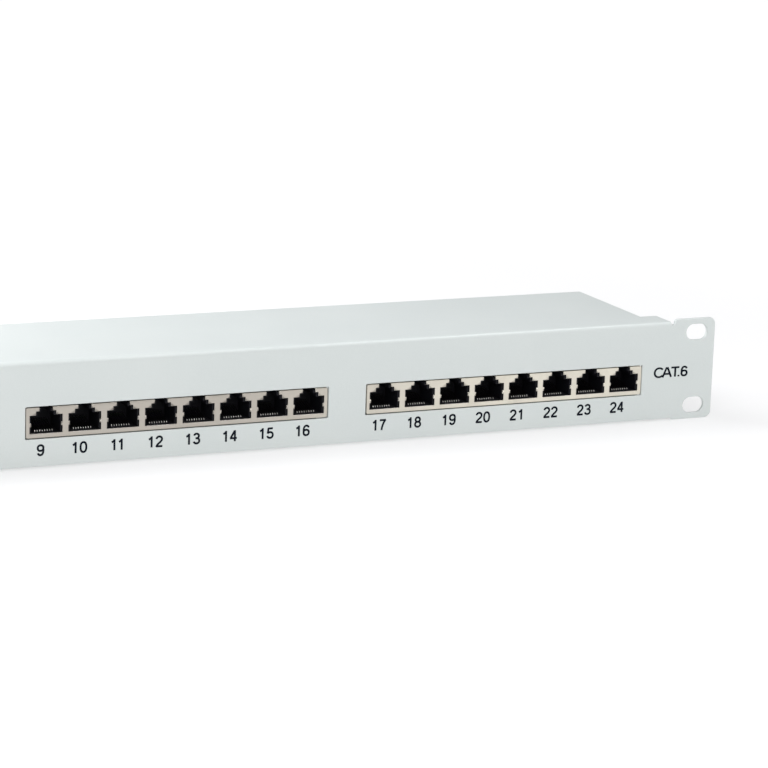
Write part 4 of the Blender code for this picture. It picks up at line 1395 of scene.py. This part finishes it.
def printedText(words, height, x, z, centred=True, stretch=1.0):
    # the signs side by side as a closed layer of ink: two copies of the sheet and the walls
    # along its free edges
    s = printSettings
    steps = [(stepOf(a) + stepOf(b)) / 2 - s["closer"].get(a + b, 0.0) for a, b in zip(words, words[1:])]
    places = np.cumsum([0.0] + steps)
    places += -places.mean() if centred else stepOf(words[0]) / 2
    sheets = [signSheet(sign, s["stroke"]) for sign in words]
    points, triangles = joined([(flat + (place, 0), faces) for place, (flat, faces) in zip(places, sheets)])
    points, triangles = points * (height * stretch, height) + (x, z), np.vstack(triangles)
    count = len(points)
    free = freeEdges(triangles, count)
    front = np.column_stack([points[:, 0], np.zeros(count), points[:, 1]])
    back = front + (0, s["ink"] + 0.02, 0)
    walls = np.column_stack([free[:, 1], free[:, 0], free[:, 0] + count, free[:, 1] + count])
    return np.vstack([front, back]), [np.vstack([triangles, triangles[:, ::-1] + count]), walls]


def makePrint():
    s = printSettings
    count = layout["portsPerBank"]
    for bank, letter in enumerate(layout["banks"]):
        parts = []
        for port in range(count):
            number = str(bank * count + port + 1)
            x = bankX(bank) + (port - (count - 1) / 2) * s["pitch"] + s["shift"][bank]
            parts.append(printedText(number, s["height"], x, s["baseline"]))
        points, faces = joined(parts)
        makePiece(f"port_numbers_{letter}", points, faces, printedInk, "panel", smooth=False)
    words, x, z, height, stretch = s["category"]
    points, faces = printedText(words, height, x, z, False, stretch)
    makePiece("category_marking", points, faces, printedInk, "panel", smooth=False)


makePrint()
print("numerals printed")


studio = {
    "floorHalf": 12.0,
    "floorGap": 0.0002,
    "floorColour": (0.42, 0.42, 0.425),
    # painted light: the floor's own glow near the object and far from it, over the distances given next
    "floorGlow": (0.52, 0.84),
    "glowReach": (0.32, 0.85),
    "world": (0.97, 0.985, 1.0),
    "worldStrength": 0.31,
    "aim": (0, 0, 0.02),
    "lens": 141.0,
    "camera": (-0.4015, -1.0839, 0.2779),
    "yaw": 0.4240,
    "pitch": -0.2276,
    "roll": 0.0329,
    "lights": [  # place, size, power, colour
        ("keySoftbox", (-0.5, -1.3, 0.7), (1.0, 0.8), 7.65, (1.0, 0.99, 0.985)),
        ("fillSoftbox", (1.1, -1.3, 0.6), (1.0, 0.8), 4.2, (1.0, 0.99, 0.985)),
        ("ridgeStrip", (0.50, -0.26, 0.95), (1.0, 0.10), 4.5, (1.0, 1.0, 1.0)),
        ("leftSoftbox", (-0.45, 0.25, 0.50), (0.5, 0.5), 6.45, (0.985, 0.985, 1.0)),
        ("backSoftbox", (0.10, 2.3, 0.62), (0.9, 0.8), 2.2, (0.98, 0.985, 1.0)),
    ],
}


def makeFloor():
    # a level sheet a hair under the object, wide enough to fill every view; its glow is painted light, weaker
    # near the object as a painted shade around it, and it brightens away from the object until it is white
    s = studio
    half = s["floorHalf"]
    mesh = bpy.data.meshes.new("studioFloor")
    mesh.from_pydata([(-half, -half, 0), (half, -half, 0), (half, half, 0), (-half, half, 0)], [], [range(4)])
    floor = bpy.data.objects.new("studioFloor", mesh)
    floor.location = (0, 0, -s["floorGap"])
    scene.collection.objects.link(floor)
    material, w, shader, where = newFinish("paleFloor")
    mottled = w.grey(w.ramp(w.noise(where, 3.0, 2.0), 0.3, 0.7, (0.985, 1.0)))
    w.put(shader.inputs["Base Color"], w.mixColour(1.0, rgba(s["floorColour"]), mottled, "MULTIPLY"))
    shader.inputs["Roughness"].default_value = 0.9
    shader.inputs["Specular IOR Level"].default_value = 0.1
    # painted shade near the object, painted light further off: the glow rises with distance
    distance = w.node("VectorMath", {0: where}, operation="LENGTH").outputs["Value"]
    glow = w.ramp(distance, *s["glowReach"], s["floorGlow"])
    w.put(shader.inputs["Emission Color"], w.grey(glow))
    shader.inputs["Emission Strength"].default_value = 1.0
    mesh.materials.append(material)


def makeLights():
    world = bpy.data.worlds.new("studioWorld")
    world.use_nodes = True
    background = world.node_tree.nodes["Background"].inputs
    background["Color"].default_value = rgba(studio["world"])
    background["Strength"].default_value = studio["worldStrength"]
    scene.world = world
    for name, place, size, power, colour in studio["lights"]:
        light = bpy.data.lights.new(name, "AREA")
        light.shape = "RECTANGLE"
        light.size, light.size_y = size
        light.energy = power
        light.color = colour
        lamp = bpy.data.objects.new(name, light)
        lamp.location = place
        lamp.visible_camera = False
        lamp.rotation_euler = (Vector(studio["aim"]) - Vector(place)).to_track_quat("-Z", "Y").to_euler()
        scene.collection.objects.link(lamp)


def makeCamera():
    # yaw turns right from straight ahead, pitch up, and roll tips the top to the left
    s = studio
    yaw, pitch, roll = s["yaw"], s["pitch"], s["roll"]
    ahead = Vector((sin(yaw) * cos(pitch), cos(yaw) * cos(pitch), sin(pitch)))
    right = Vector((cos(yaw), -sin(yaw), 0))
    up = right.cross(ahead)
    side = cos(roll) * right + sin(roll) * up
    top = -sin(roll) * right + cos(roll) * up
    camera = bpy.data.objects.new("camera", bpy.data.cameras.new("camera"))
    turn = Matrix((side, top, -ahead)).transposed().to_4x4()
    camera.matrix_world = Matrix.Translation(Vector(faceCentre) + Vector(s["camera"])) @ turn
    camera.data.lens = s["lens"]
    camera.data.clip_start, camera.data.clip_end = 0.01, 60.0
    scene.collection.objects.link(camera)
    scene.camera = camera


makeFloor()
makeLights()
makeCamera()
scene.view_settings.view_transform = "Standard"
scene.view_settings.look = "None"
print("studio set")
